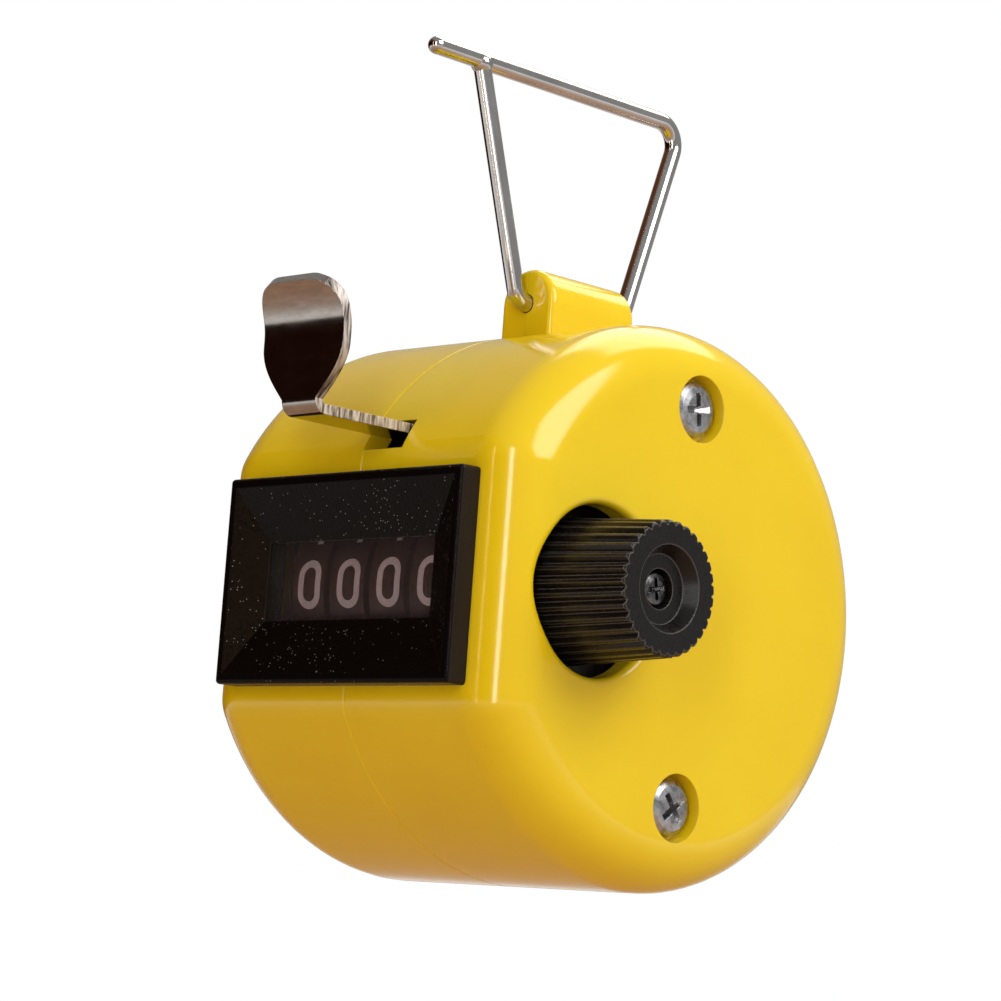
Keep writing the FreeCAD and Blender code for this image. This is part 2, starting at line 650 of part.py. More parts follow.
def finger_ring():
    """Bent wire bail: the rear leg and top bar are one wire, the front leg is welded under the bar."""
    seam = value(SEAM)
    eye = value("eye_height")
    top = eye + value("ring_height")
    bend = value("wire_bend")
    wire = value("wire_radius")
    grip = value("wire_grip")
    lean = math.tan(math.radians(value("leg_lean"))) * value("ring_height")
    front = -value("lug_front")
    rear = value("lug_rear")
    front_foot = front - value("leg_start")
    rear_foot = rear + value("leg_start")
    front_leg = swept_wire(
        [V(seam, front + grip, eye), V(seam, front_foot, eye), V(seam, front_foot - lean, top)],
        [bend], wire,
    )
    bar_end = front_foot - lean - value("bar_overhang")
    rear_leg = swept_wire(
        [
            V(seam, rear - grip, eye), V(seam, rear_foot, eye),
            V(seam, rear_foot + lean, top), V(seam, bar_end, top),
        ],
        [bend, value("ring_corner")], wire,
    )
    tip = Part.makeSphere(wire, V(seam, bar_end, top))
    weld = Part.makeSphere(wire * 1.25, V(seam, front_foot - lean * 0.985, top - wire * 0.35))
    return fixed_shape("finger_ring", rear_leg.fuse([front_leg, tip, weld]).removeSplitter())


# ---------------------------------------------------------------- thumb lever
def lever_sheet_solid():
    """The bent sheet at full pad width: strip, sharp bend, upright pad and curled tip."""
    centre = value(f"{SEAM} + lever_shift")
    half = value("pad_width / 2")
    sheet_wall = value("lever_sheet")
    level = value("lever_level")
    front = -value("lever_reach")
    bend = value("lever_bend")
    upright = value("pad_upright")
    curl = value("pad_curl")
    sweep = math.radians(value("pad_sweep"))
    rear = value("ear_radius + lever_run - pivot_back")
    corner = V(centre, front, level)
    tip = V(centre, front - curl * (1 - math.cos(sweep)), upright + curl * math.sin(sweep))
    halfway = V(centre, front - curl * (1 - math.cos(sweep / 2)), upright + curl * math.sin(sweep / 2))
    run = rounded_wire([V(centre, rear, level), corner, V(centre, front, upright)], [bend])
    curled = Part.Arc(V(centre, front, upright), halfway, tip).toShape()
    path = Part.Wire(run.Edges + [curled])
    section = Part.makePolygon([
        V(centre - half, rear, level - sheet_wall / 2), V(centre + half, rear, level - sheet_wall / 2),
        V(centre + half, rear, level + sheet_wall / 2), V(centre - half, rear, level + sheet_wall / 2),
        V(centre - half, rear, level - sheet_wall / 2),
    ])
    return path.makePipeShell([section], True, False)


def lever_outline():
    """Front view of the lever: the strip's width, flaring to the pad with rounded top corners."""
    centre = value(f"{SEAM} + lever_shift")
    strip = value("lever_width / 2")
    half = value("pad_width / 2")
    low = value("lever_level - 2")
    bend_top = value("lever_level + lever_bend")
    flare = value("pad_flare")
    top = value("pad_upright + pad_curl * 2")
    spread = half - strip
    rise = flare - bend_top
    shares = [step / 15 for step in range(16)]
    curve = [(strip + spread * math.sin(math.pi / 2 * share), bend_top + rise * share) for share in shares]
    right = [(strip, low)] + curve + [(half, top)]
    points = [V(centre + x, 0, z) for x, z in right] + [V(centre - x, 0, z) for x, z in reversed(right)]
    face = Part.Face(Part.makePolygon(points + points[:1]))
    return face.extrude(V(0, -value("lever_reach") - 20, 0))


def thumb_lever():
    """Sheet-metal lever: trimmed sheet, two pivot ears and the inner arm that carries the pawl."""
    left = value(LEVER_LEFT)
    right = value(LEVER_RIGHT)
    sheet_wall = value("lever_sheet")
    level = value("lever_level")
    pivot = V(0, -value("pivot_back"), value("pivot_level"))
    bore = value("pivot_radius + running_gap")
    lever = lever_sheet_solid().common(lever_outline())
    corners = [edge for edge in lever.Edges if is_tip_corner(edge)]
    if corners:
        lever = lever.makeFillet(value("pad_width * 0.3"), corners)
    ear = value("ear_radius")
    for start in (left, right - sheet_wall):
        ring = Part.makeCylinder(ear, sheet_wall, V(start, pivot.y, pivot.z), V(1, 0, 0))
        tab = Part.makeBox(sheet_wall, ear * 2, level - pivot.z, V(start, pivot.y - ear, pivot.z))
        lever = lever.fuse([ring, tab])
    lever = lever.fuse([inner_wing(), inner_arm()])
    hole = Part.makeCylinder(bore, right - left + 2, V(left - 1, pivot.y, pivot.z), V(1, 0, 0))
    return fixed_shape("thumb_lever", lever.cut(hole).removeSplitter())


def is_tip_corner(edge):
    """The two short edges through the sheet at the pad's upper corners."""
    box = edge.BoundBox
    high = box.ZMin > value("pad_upright + pad_curl * 0.4")
    return high and abs(edge.Length - value("lever_sheet")) < 0.02 and box.XMax - box.XMin < 1e-3


def wing_right():
    return value(f"{RATCHET_START} - arm_gap")


def inner_wing():
    """Level wing from the strip to the arm, over the number wheels."""
    start = value("ear_radius + wing_start - pivot_back")
    sheet_wall = value("lever_sheet")
    left = value(LEVER_LEFT)
    place = V(left, start, value("lever_level") - sheet_wall / 2)
    return Part.makeBox(wing_right() - left, value("wing_length"), sheet_wall, place)


def inner_arm():
    """Upright arm from the wing down and back to the pawl pin."""
    start = value("ear_radius + wing_start - pivot_back")
    end = start + value("wing_length")
    reach = value("arm_reach")
    foot = value("arm_foot")
    root = value("arm_root")
    top = value("lever_level + lever_sheet / 2")
    pin_y = -value("pawl_back")
    pin_z = value("pawl_level")
    wall = value("lever_sheet")
    outer = wing_right()
    points = [
        V(outer, start, top), V(outer, end, top), V(outer, pin_y + reach, pin_z + reach),
        V(outer, pin_y + reach, pin_z - foot), V(outer, pin_y - reach, pin_z - foot),
        V(outer, start, top - root),
    ]
    face = Part.Face(Part.makePolygon(points + points[:1]))
    place = V(outer - wall * 2, pin_y, pin_z)
    hole = Part.makeCylinder(value("pawl_pin_radius"), wall * 3, place, V(1, 0, 0))
    return face.extrude(V(-wall, 0, 0)).cut(hole)


def lever_return_spring():
    """Coil of the torsion spring round the pivot pin, between the lever's two ears."""
    wire = value("spring_wire")
    coil = value("spring_coil")
    pitch = wire * 2.3
    turns = value("spring_turns")
    start = value(f"{SEAM} + lever_shift") - pitch * turns / 2
    pivot_y = -value("pivot_back")
    pivot_z = value("pivot_level")
    helix = Part.makeHelix(pitch, pitch * turns, coil)
    section = Part.Wire([Part.makeCircle(wire, V(coil, 0, 0), V(0, 1, 0))])
    spring = Part.Wire(helix).makePipeShell([section], True, True)
    along_x = FreeCAD.Rotation(V(0, 1, 0), 90)
    return fixed_shape("lever_return_spring", spring, V(start, pivot_y, pivot_z), along_x)


# ---------------------------------------------------------------- pawl, ratchet and detent
def drive_pawl():
    """Hooked pawl that pulls the ratchet wheel round; modelled standing just off its teeth."""
    body = new_body("drive_pawl", f"{RATCHET_START} + fit_gap")
    sketch = new_sketch(body, "YZ_Plane")
    hook = "ratchet_radius - axle_back"
    polygon(sketch, [
        ("1.5 - pawl_back", "pawl_level + 1.3"),
        ("0 - pawl_back - 1.3", "pawl_level + 1.3"),
        ("0 - pawl_back - 1.6", "pawl_level - 1.0"),
        (f"{hook} + 1.3", "1.6"),
        (f"{hook} + 0.35", "0.9"),
        (f"{hook} + 0.35", "0.1"),
        (f"{hook} + 2.4", "0.4"),
        ("1.3 - pawl_back", "pawl_level - 1.0"),
    ])
    pad(body, sketch, "pawl_width")
    bore = new_sketch(body, "YZ_Plane", "pawl_width")
    circle(bore, "0 - pawl_back", "pawl_level", "pawl_pin_radius + running_gap")
    pocket(body, bore, "pawl_width")
    return body


def ratchet_wheel():
    """Ten-notch wheel fixed to the side of the units wheel."""
    body = new_body("ratchet_wheel", RATCHET_START, "0 - axle_back")
    disc = new_sketch(body, "YZ_Plane")
    circle(disc, "0", "0", "ratchet_radius")
    circle(disc, "0", "0", "axle_radius + running_gap")
    pad(body, disc, "ratchet_width")
    notch = new_sketch(body, "YZ_Plane", "ratchet_width")
    polygon(notch, [
        ("ratchet_radius - ratchet_depth", "0"),
        ("ratchet_radius + 0.3", "0"),
        ("ratchet_radius + 0.3", "ratchet_depth * 2.4"),
        ("ratchet_radius - 0.2", "ratchet_depth * 2.1"),
    ])
    cut = pocket(body, notch, "ratchet_width")
    repeat_round(body, cut, "ratchet_teeth")
    return body


LEAF_TOP = "0 - ratchet_radius - leaf_gap"


def detent_spring():
    """Bent leaf under the ratchet wheel, its tab screwed to the right frame plate."""
    inner = value(f"{RATCHET_START} + fit_gap")
    outer = value(STACK_RIGHT)
    wall = value("leaf_wall")
    top = value(LEAF_TOP)
    front = value("0 - axle_back - leaf_lead")
    width = value("tab_width")
    height = value("tab_height")
    screw_y = -value("tab_screw_back")
    leaf = Part.makeBox(outer - inner, value("leaf_tail") - front, wall, V(inner, front, top - wall))
    tab = Part.makeBox(wall, width, height, V(outer - wall, screw_y - width / 2, top - height))
    place = V(outer - wall * 2, screw_y, top - value("tab_screw_drop"))
    hole = Part.makeCylinder(value("rivet_radius"), wall * 3, place, V(1, 0, 0))
    return fixed_shape("detent_spring", leaf.fuse(tab).cut(hole).removeSplitter())


def detent_screw():
    height = value("tab_screw_height")
    place = V(
        value(f"{STACK_RIGHT} + plate_wall") + height,
        -value("tab_screw_back"),
        value(f"{LEAF_TOP} - tab_screw_drop"),
    )
    reach = value("plate_wall + leaf_wall")
    screw = pan_screw(value("tab_screw_head"), height, value("rivet_radius"), reach, 20.0)
    return fixed_shape("detent_screw", screw, place)


# ---------------------------------------------------------------- number train
def gear_tooth(body, pitch_radius, count, start, width):
    """One tapered tooth standing up from the root circle, then copies of it round X."""
    sketch = new_sketch(body, "YZ_Plane", start)
    root = f"{pitch_radius} - tooth_root - 0.1"
    tip = f"{pitch_radius} + tooth_reach"
    polygon(sketch, [
        (root, "0 - tooth_foot / 2"),
        (tip, "0 - tooth_tip / 2"),
        (tip, "tooth_tip / 2"),
        (root, "tooth_foot / 2"),
    ])
    tooth = pad(body, sketch, width)
    return repeat_round(body, tooth, count)


GEAR_PITCH = "gear_module * gear_teeth / 2"
PINION_PITCH = "gear_module * pinion_teeth / 2"


def number_wheel(label, place, has_gear, has_cam):
    """Cup-shaped wheel: printed rim, web and hub, a carry gear to its right, a carry cam to its left."""
    body = new_body(label, f"{SEAM} + wheel_pitch * {place}", "0 - axle_back")
    gear_end = "rim_width / 2 + gear_width" if has_gear else "rim_width / 2"
    cam_end = "0 - rim_width / 2 - cam_width" if has_cam else "0 - rim_width / 2"
    bore = "axle_radius + running_gap"
    gear_root = f"{GEAR_PITCH} - tooth_root"
    profile = new_sketch(body, "XY_Plane")
    polygon(profile, [
        (cam_end, bore),
        (gear_end, bore),
        (gear_end, gear_root if has_gear else "hub_radius"),
        ("rim_width / 2 - 0.001", gear_root if has_gear else "hub_radius"),
        ("rim_width / 2 - 0.001", "wheel_radius"),
        ("0.001 - rim_width / 2", "wheel_radius"),
        ("0.001 - rim_width / 2", "wheel_radius - rim_wall"),
        ("0 - web_width / 2", "wheel_radius - rim_wall - 0.1"),
        ("0 - web_width / 2", "cam_radius + 0.1"),
        ("0.001 - rim_width / 2", "cam_radius"),
        (cam_end, "cam_radius - 0.001"),
    ])
    revolve(body, profile)
    if has_gear:
        gear_tooth(body, GEAR_PITCH, "gear_teeth", "rim_width / 2 - 0.1", "gear_width + 0.1")
    if has_cam:
        carry_teeth(body)
    # Turn the gear so that the gap between two teeth faces the carry pinion.
    tilt = value("180 / gear_teeth - pinion_slant") if has_gear else 0
    body.Placement = FreeCAD.Placement(body.Placement.Base, FreeCAD.Rotation(V(1, 0, 0), tilt))
    return body


def carry_teeth(body):
    """The two teeth that nudge the next wheel's pinion once a turn, cut short to pass it."""
    for side in ("", "0 - "):
        sketch = new_sketch(body, "YZ_Plane", "0 - rim_width / 2 - cam_width")
        polygon(sketch, [
            ("cam_radius * 0.6", f"{side}0.5"),
            ("cam_tooth", f"{side}0.7"),
            ("cam_tooth - 0.1", f"{side}1.3"),
            ("cam_radius * 0.6", f"{side}1.5"),
        ])
        pad(body, sketch, "cam_width + 0.1")


def carry_pinion(label, place):
    """Eight-tooth pinion in the gap between two number wheels."""
    body = new_body(label, f"{SEAM} + wheel_pitch * ({place} + 0.5) - pinion_width / 2", PINION_Y, PINION_Z)
    disc = new_sketch(body, "YZ_Plane")
    circle(disc, "0", "0", f"{PINION_PITCH} - tooth_root")
    pad(body, disc, "pinion_width")
    gear_tooth(body, PINION_PITCH, "pinion_teeth", "0", "pinion_width")
    bore = new_sketch(body, "YZ_Plane", "pinion_width")
    circle(bore, "0", "0", "shaft_radius + running_gap")
    pocket(body, bore, "pinion_width")
    tilt = value("180 - pinion_slant")
    body.Placement = FreeCAD.Placement(body.Placement.Base, FreeCAD.Rotation(V(1, 0, 0), tilt))
    return body


def main_axle():
    """Axle with a clip groove at its left end and a tapped hole for the knob screw."""
    body = new_body("main_axle", "0", "0 - axle_back")
    start = f"{STACK_LEFT} - plate_wall - clip_wall - 1.3"
    groove = f"{STACK_LEFT} - plate_wall - clip_wall - 0.3"
    end = f"{KNOB_END} - knob_screw_sink - knob_screw_height - 1"
    hole = f"{end} - knob_screw_reach"
    profile = new_sketch(body, "XY_Plane")
    polygon(profile, [
        (start, "0"), (hole, "0"), (hole, "knob_screw_shank + thread_gap"),
        (end, "knob_screw_shank + thread_gap"),
        (end, "axle_radius"), (f"{groove} + clip_wall + 0.02", "axle_radius"),
        (f"{groove} + clip_wall + 0.02", "axle_radius - clip_groove"),
        (f"{groove} - 0.02", "axle_radius - clip_groove"), (f"{groove} - 0.02", "axle_radius"),
        (start, "axle_radius"),
    ])
    revolve(body, profile)
    return body


def axle_clip():
    """Open retaining clip snapped into the axle's groove."""
    body = new_body("axle_clip", f"{STACK_LEFT} - plate_wall - clip_wall - 0.3", "0 - axle_back")
    disc = new_sketch(body, "YZ_Plane")
    circle(disc, "0", "0", "clip_radius")
    circle(disc, "0", "0", "axle_radius - clip_groove + 0.02")
    pad(body, disc, "clip_wall")
    mouth = new_sketch(body, "YZ_Plane", "clip_wall")
    half = "axle_radius * 0.7"
    rectangle(mouth, f"0 - {half}", half, "0 - clip_radius - 1", "0 - axle_radius * 0.6")
    pocket(body, mouth, "clip_wall")
    return body


def ring_piece(label, start, length, outer, inner):
    """A plain washer on the number axle."""
    body = new_body(label, start, "0 - axle_back")
    disc = new_sketch(body, "YZ_Plane")
    circle(disc, "0", "0", outer)
    circle(disc, "0", "0", inner)
    pad(body, disc, length)
    return body


# ---------------------------------------------------------------- reset knob
def flute_wire(radius, across):
    """Closed outline of rounded ridges: radius falls by the flute depth in each valley."""
    count = int(value("knob_flutes"))
    depth = value("flute_depth")
    points = []
    for flute in range(count):
        for share, drop in ((0.0, 1.0), (0.2, 0.45), (0.36, 0.04), (0.62, 0.0), (0.84, 0.5)):
            angle = math.radians(TURN * (flute + share) / count)
            reach = radius - depth * drop
            points.append(V(across, reach * math.cos(angle), reach * math.sin(angle)))
    return Part.makePolygon(points + points[:1])


def reset_knob():
    """Tapered fluted grip with a dished end, a screw seat and a bore for the axle."""
    length = value(KNOB_LENGTH)
    sink = value("knob_screw_sink")
    seat = length - sink - value("knob_screw_height")
    ends = [flute_wire(value("knob_base"), 0), flute_wire(value("knob_tip"), length)]
    grip = Part.makeLoft(ends, True, True)
    edge = value("knob_edge")
    tip = value("knob_tip")
    slant = edge * 0.6
    barrel = Part.makeCylinder(value("knob_base * 1.5"), length - edge, V(0, 0, 0), V(1, 0, 0))
    crown = Part.makeCone(tip + slant, tip - slant, edge, V(length - edge, 0, 0), V(1, 0, 0))
    grip = grip.common(barrel.fuse(crown))
    dish = Part.makeCone(
        value("dish_floor"), value("dish_radius"), value("dish_depth"),
        V(length - value("dish_depth"), 0, 0), V(1, 0, 0),
    )
    well = Part.makeCylinder(value("knob_screw_radius") + 0.12, length, V(seat, 0, 0), V(1, 0, 0))
    bore = Part.makeCylinder(value("axle_radius") + 0.01, seat - 1, V(0, 0, 0), V(1, 0, 0))
    pilot = Part.makeCylinder(value("knob_screw_shank") + 0.05, 2, V(seat - 1.5, 0, 0), V(1, 0, 0))
    knob = grip.cut([dish, well, bore, pilot])
    return fixed_shape("reset_knob", knob, V(value(KNOB_START), -value("axle_back"), 0))


def knob_screw():
    place = V(value(f"{KNOB_END} - knob_screw_sink"), -value("axle_back"), 0)
    screw = pan_screw(
        value("knob_screw_radius"), value("knob_screw_height"),
        value("knob_screw_shank"), value("knob_screw_reach"), 10.0,
    )
    return fixed_shape("knob_screw", screw, place)


# ---------------------------------------------------------------- mechanism frame
def frame_plate(label, start):
    """Pierced sheet plate that carries the axle, pinion shaft, lever pivot and spacers."""
    body = new_body(label, start)
    sketch = new_sketch(body, "YZ_Plane")
    front = "casing_wall + plate_inset - front_flat"
    polygon(sketch, [
        (front, "0 - plate_head"), (front, "plate_brow"), ("0 - pivot_back - 2.1", "pivot_level + 1.2"),
        ("0 - pivot_back - 0.9", "pivot_level + 2.4"), ("5 - pivot_back", "pivot_level + 2.4"),
        ("9 - pivot_back", "pivot_level - 0.5"), ("plate_rear", "plate_brow - 1"),
        ("plate_rear", "0 - plate_brow"), ("plate_rear - 8.7", "0 - plate_foot"),
        (f"{front} + 2.8", "0 - plate_foot"),
    ])
    pad(body, sketch, "plate_wall")
    holes = new_sketch(body, "YZ_Plane", "plate_wall")
    circle(holes, "0 - axle_back", "0", "axle_radius + running_gap")
    circle(holes, PINION_Y, PINION_Z, "shaft_radius")
    circle(holes, "0 - pivot_back", "pivot_level", "pivot_radius")
    for forward, up in SPACERS:
        circle(holes, forward, up, "rivet_radius")
    if label.startswith("right"):
        circle(holes, "0 - tab_screw_back", f"{LEAF_TOP} - tab_screw_drop", "rivet_radius")
    pocket(body, holes, "plate_wall")
    return body


def frame_spacers():
    """Three shouldered spacers whose thin ends are riveted in the plates."""
    left = value(STACK_LEFT)
    right = value(STACK_RIGHT)
    wall = value("plate_wall")
    solids = []
    for forward, up in SPACERS:
        y, z = value(forward), value(up)
        bar = Part.makeCylinder(value("spacer_radius"), right - left, V(left, y, z), V(1, 0, 0))
        span = right - left + wall * 2
        ends = Part.makeCylinder(value("rivet_radius"), span, V(left - wall, y, z), V(1, 0, 0))
        solids.append(bar.fuse(ends).removeSplitter())
    return fixed_shape("frame_spacers", Part.Compound(solids))


# ---------------------------------------------------------------- the whole counter
def build_all():
    casing_half("left_casing", True)
    casing_half("right_casing", False)
    display_bezel()
    display_window()
    casing_screws()
    finger_ring()
    thumb_lever()
    plates_start = f"{STACK_LEFT} - plate_wall"
    plates_span = f"{STACK_RIGHT} - ({STACK_LEFT}) + plate_wall * 2"
    round_pin("lever_pivot_pin", plates_start, plates_span, "pivot_radius", "0 - pivot_back", "pivot_level")
    lever_return_spring()
    drive_pawl()
    pin_start = f"{RATCHET_START} - arm_gap - lever_sheet"
    pin_span = "lever_sheet + arm_gap + fit_gap + pawl_width + 0.05"
    round_pin("pawl_pin", pin_start, pin_span, "pawl_pin_radius", "0 - pawl_back", "pawl_level")
    ratchet_wheel()
    detent_spring()
    detent_screw()
    for label, place in (("thousands", "-1.5"), ("hundreds", "-0.5"), ("tens", "0.5"), ("units", "1.5")):
        number_wheel(f"{label}_wheel", place, label != "units", label != "thousands")
    for label, place in (("thousands", "-1.5"), ("hundreds", "-0.5"), ("tens", "0.5")):
        carry_pinion(f"{label}_pinion", place)
    round_pin("pinion_shaft", plates_start, plates_span, "shaft_radius", PINION_Y, PINION_Z)
    main_axle()
    axle_clip()
    washer_start = f"{KNOB_START} - washer_wall - washer_play"
    ring_piece("thrust_washer", washer_start, "washer_wall", "washer_radius", "axle_radius + washer_play")
    reset_knob()
    knob_screw()
    frame_plate("left_frame_plate", plates_start)
    frame_plate("right_frame_plate", STACK_RIGHT)
    frame_spacers()


def sub_parts():
    """Every object that is a piece of the counter: bodies, and features outside any body."""
    kinds = ("PartDesign::Body", "Part::Feature", "Part::Cylinder", "Part::Box")
    return [thing for thing in doc.Objects if thing.TypeId in kinds and not thing.getParentGeoFeatureGroup()]


def check_all():
    doc.recompute()
    for thing in doc.Objects:
        if "Invalid" in thing.State or "Error" in thing.State:
            raise ValueError(f"{thing.Label} ({thing.Name}) failed: {thing.State}")
    for part in sub_parts():
        if part.Shape.isNull() or not part.Shape.isValid():
            raise ValueError(f"{part.Label} has no valid shape")


def export_all():
    os.makedirs("parts", exist_ok=True)
    for part in sub_parts():
        part.Shape.exportStep(f"parts/{part.Label}.step")
        print(f"{part.Label}: {part.Shape.Volume:.2f} mm3, {len(part.Shape.Solids)} solid(s)")


build_all()
check_all()
export_all()
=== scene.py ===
# %% [markdown]
# A hand tally counter is a palm-sized drum of glossy moulded plastic with a number train inside.
# The drum, the knob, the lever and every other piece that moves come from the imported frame. This
# lesson gives each of them the finish of the real thing, prints the numerals on the wheels, and
# sets up a plain pale studio round the object.

# %% Load the frame
import math

import bpy
import numpy as np
from mathutils import Matrix, Vector


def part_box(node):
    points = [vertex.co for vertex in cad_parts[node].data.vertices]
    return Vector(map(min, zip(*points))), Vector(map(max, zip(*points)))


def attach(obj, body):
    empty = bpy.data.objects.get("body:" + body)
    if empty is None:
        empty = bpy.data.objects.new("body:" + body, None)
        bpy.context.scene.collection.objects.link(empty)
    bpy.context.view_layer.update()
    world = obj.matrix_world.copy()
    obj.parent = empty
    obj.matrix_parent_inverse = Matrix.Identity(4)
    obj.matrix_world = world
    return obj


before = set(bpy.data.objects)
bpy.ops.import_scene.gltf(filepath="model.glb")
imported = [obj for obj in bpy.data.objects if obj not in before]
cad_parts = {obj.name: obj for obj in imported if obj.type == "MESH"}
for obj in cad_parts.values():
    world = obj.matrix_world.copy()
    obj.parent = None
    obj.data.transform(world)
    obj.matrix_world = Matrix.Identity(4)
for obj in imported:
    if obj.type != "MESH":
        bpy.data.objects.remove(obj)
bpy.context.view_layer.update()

MM = 0.001
print("pieces in the frame:", len(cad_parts))

# %% [markdown]
# Everything is placed from a few lines that the object has anyway: the seam between the two
# shells, the number axle, the level of the display. Reading them from the frame keeps the looks in
# step with the design when a size changes.

# %% Landmarks
SEAM_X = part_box("left_casing")[1].x
wheel_low, wheel_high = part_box("units_wheel")
AXLE_Y = (wheel_low.y + wheel_high.y) / 2
WHEEL_R = (wheel_high.z - wheel_low.z) / 2
print("seam at", round(SEAM_X / MM, 2), "mm, wheel radius", round(WHEEL_R / MM, 2), "mm")

# %% [markdown]
# Colours are written as the sRGB hex values that a designer would read off a swatch. Blender's
# shaders work on linear light, so one function turns the first into the second.

# %% Colour and node helpers
def linear(swatch):
    """sRGB hex to linear RGBA: c/12.92 in the toe, ((c + 0.055)/1.055)^2.4 above it."""
    parts = [int(swatch[i:i + 2], 16) / 255 for i in (1, 3, 5)]
    return tuple(c / 12.92 if c <= 0.04045 else ((c + 0.055) / 1.055) ** 2.4 for c in parts) + (1.0,)


def add(tree, kind, inputs=None, stops=(), **settings):
    """Add one node. Settings are its properties, inputs are values or sockets to link from, and
    stops are the (position, colour) pairs of a colour ramp."""
    node = tree.nodes.new(kind)
    for name, value in settings.items():
        setattr(node, name, value)
    for name, value in (inputs or {}).items():
        if isinstance(value, bpy.types.NodeSocket):
            tree.links.new(value, node.inputs[name])
        else:
            node.inputs[name].default_value = value
    while len(stops) > 2 and len(node.color_ramp.elements) < len(stops):
        node.color_ramp.elements.new(0.5)
    for number, (position, colour) in enumerate(stops):
        node.color_ramp.elements[number].position = position
        node.color_ramp.elements[number].color = colour
    return node


def start_material(name):
    """An empty material with its node tree, its shader and a socket of Object coordinates."""
    material = bpy.data.materials.new(name)
    material.use_nodes = True
    tree = material.node_tree
    tree.nodes.clear()
    shader = add(tree, "ShaderNodeBsdfPrincipled")
    add(tree, "ShaderNodeOutputMaterial", {"Surface": shader.outputs["BSDF"]})
    place = add(tree, "ShaderNodeTexCoord").outputs["Object"]
    return material, tree, shader, place


def finish_node(node, material):
    """Put one material on a CAD piece."""
    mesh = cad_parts[node].data
    mesh.materials.clear()
    mesh.materials.append(material)


print("a mid grey swatch is", round(linear("#808080")[0], 3), "in linear light")

# %% [markdown]
# The casing is injection-moulded ABS in a warm yellow. A polished tool gives it a wet, sharp
# gloss, and the only texture left is a very faint waviness where the wall has shrunk as it cooled.

# %% Yellow ABS
def yellow_abs():
    """Glossy warm yellow with a trace of light under the skin, as in a pigmented clear resin."""
    material, tree, shader, place = start_material("moulded_yellow_abs")
    # sink waves some 12 mm long, and fine swirls of pigment 0.7 mm wide
    sink = add(tree, "ShaderNodeTexNoise", {"Vector": place, "Scale": 1 / (12 * MM), "Detail": 2.0})
    swirl = add(tree, "ShaderNodeTexNoise", {"Vector": place, "Scale": 1 / (0.7 * MM), "Detail": 3.0})
    tint = add(tree, "ShaderNodeValToRGB", {"Fac": sink.outputs["Fac"]},
               stops=[(0.3, linear("#EBC814")), (0.7, linear("#EFCE1A"))])
    tree.links.new(tint.outputs["Color"], shader.inputs["Base Color"])
    rough = add(tree, "ShaderNodeMapRange", {"Value": swirl.outputs["Fac"], "To Min": 0.1, "To Max": 0.2})
    tree.links.new(rough.outputs["Result"], shader.inputs["Roughness"])
    edge = add(tree, "ShaderNodeBevel", {"Radius": 0.12 * MM}, samples=4)
    bump = add(tree, "ShaderNodeBump", {"Height": sink.outputs["Fac"], "Strength": 0.08,
                                        "Distance": 0.1 * MM, "Normal": edge.outputs["Normal"]})
    tree.links.new(bump.outputs["Normal"], shader.inputs["Normal"])
    shader.inputs["IOR"].default_value = 1.52
    shader.inputs["Subsurface Weight"].default_value = 0.12
    shader.inputs["Subsurface Radius"].default_value = (1.0, 0.45, 0.1)
    shader.inputs["Subsurface Scale"].default_value = 0.6 * MM
    return material


casing_abs = yellow_abs()
for shell in ("left_casing", "right_casing"):
    finish_node(shell, casing_abs)
print("casing:", casing_abs.name)

# %% [markdown]
# The display frame is black ABS from a spark-eroded tool: its slopes carry a fine grain whose
# glints are painted as small pale spots, while the moulded rim stays smoother. Its edges are
# painted paler, partly for wear from handling and partly as a painted highlight where they catch
# the light. A Bevel node rounds the normal near an edge, so where it differs from the flat normal
# there is an edge, and that difference sets the paler edge colour.

# %% Worn edges and painted edge highlights
def edge_wear_and_highlight(tree, radius_mm, sharpness):
    """1 along edges, which are painted paler for wear and a highlight, 0 on faces: how far the
    bevelled normal leans from the flat one.
    """
    soft = add(tree, "ShaderNodeBevel", {"Radius": radius_mm * MM}, samples=6).outputs["Normal"]
    flat = add(tree, "ShaderNodeNewGeometry").outputs["True Normal"]
    same = add(tree, "ShaderNodeVectorMath", {0: soft, 1: flat}, operation="DOT_PRODUCT")
    wear_and_highlight = add(tree, "ShaderNodeMapRange", {
        "Value": same.outputs["Value"], "From Min": 1.0 - sharpness, "From Max": 0.999,
        "To Min": 1.0, "To Max": 0.0,
    })
    return wear_and_highlight.outputs["Result"], soft


# %% [markdown]
# The grain shows only on the four slopes round the window. They are the faces that look forwards
# but not straight forwards, so the Y part of the normal finds them. The glints where single
# crystals of the grain catch the light are painted as small pale round spots in some cells of a
# Voronoi pattern, and a slow noise gathers them in patches.

# %% Black grained ABS
RIM_FACES = -0.955       # the rim looks more squarely forwards than this
SIDE_FACES = -0.5        # the outer sides look less forwards than this
# the painted glints of the grain: cell size, spot radius and how rare they are
GLINT_CELL = 0.28 * MM
GLINT_SIZE = 0.17      # radius of a spot as a share of its cell
GLINT_RARITY = 0.36


def painted_glints(tree, place):
    """1 on the few spots of the grain that are painted as glints, 0 elsewhere: near a cell's middle,
    where patch noise times the cell's own random value is high."""
    cell = add(tree, "ShaderNodeTexVoronoi", {"Vector": place, "Scale": 1 / GLINT_CELL})
    spot = add(tree, "ShaderNodeMath", {0: cell.outputs["Distance"], 1: GLINT_SIZE},
               operation="LESS_THAN")
    patch = add(tree, "ShaderNodeTexNoise", {"Vector": place, "Scale": 1 / (5 * MM), "Detail": 1.0})
    chance = add(tree, "ShaderNodeSeparateXYZ", {"Vector": cell.outputs["Color"]})
    odds = add(tree, "ShaderNodeMath", {0: patch.outputs["Fac"], 1: chance.outputs["X"]},
               operation="MULTIPLY")
    lucky = add(tree, "ShaderNodeMath", {0: odds.outputs[0], 1: GLINT_RARITY}, operation="GREATER_THAN")
    shine = add(tree, "ShaderNodeMath", {0: spot.outputs[0], 1: lucky.outputs[0]}, operation="MULTIPLY")
    return shine.outputs[0]


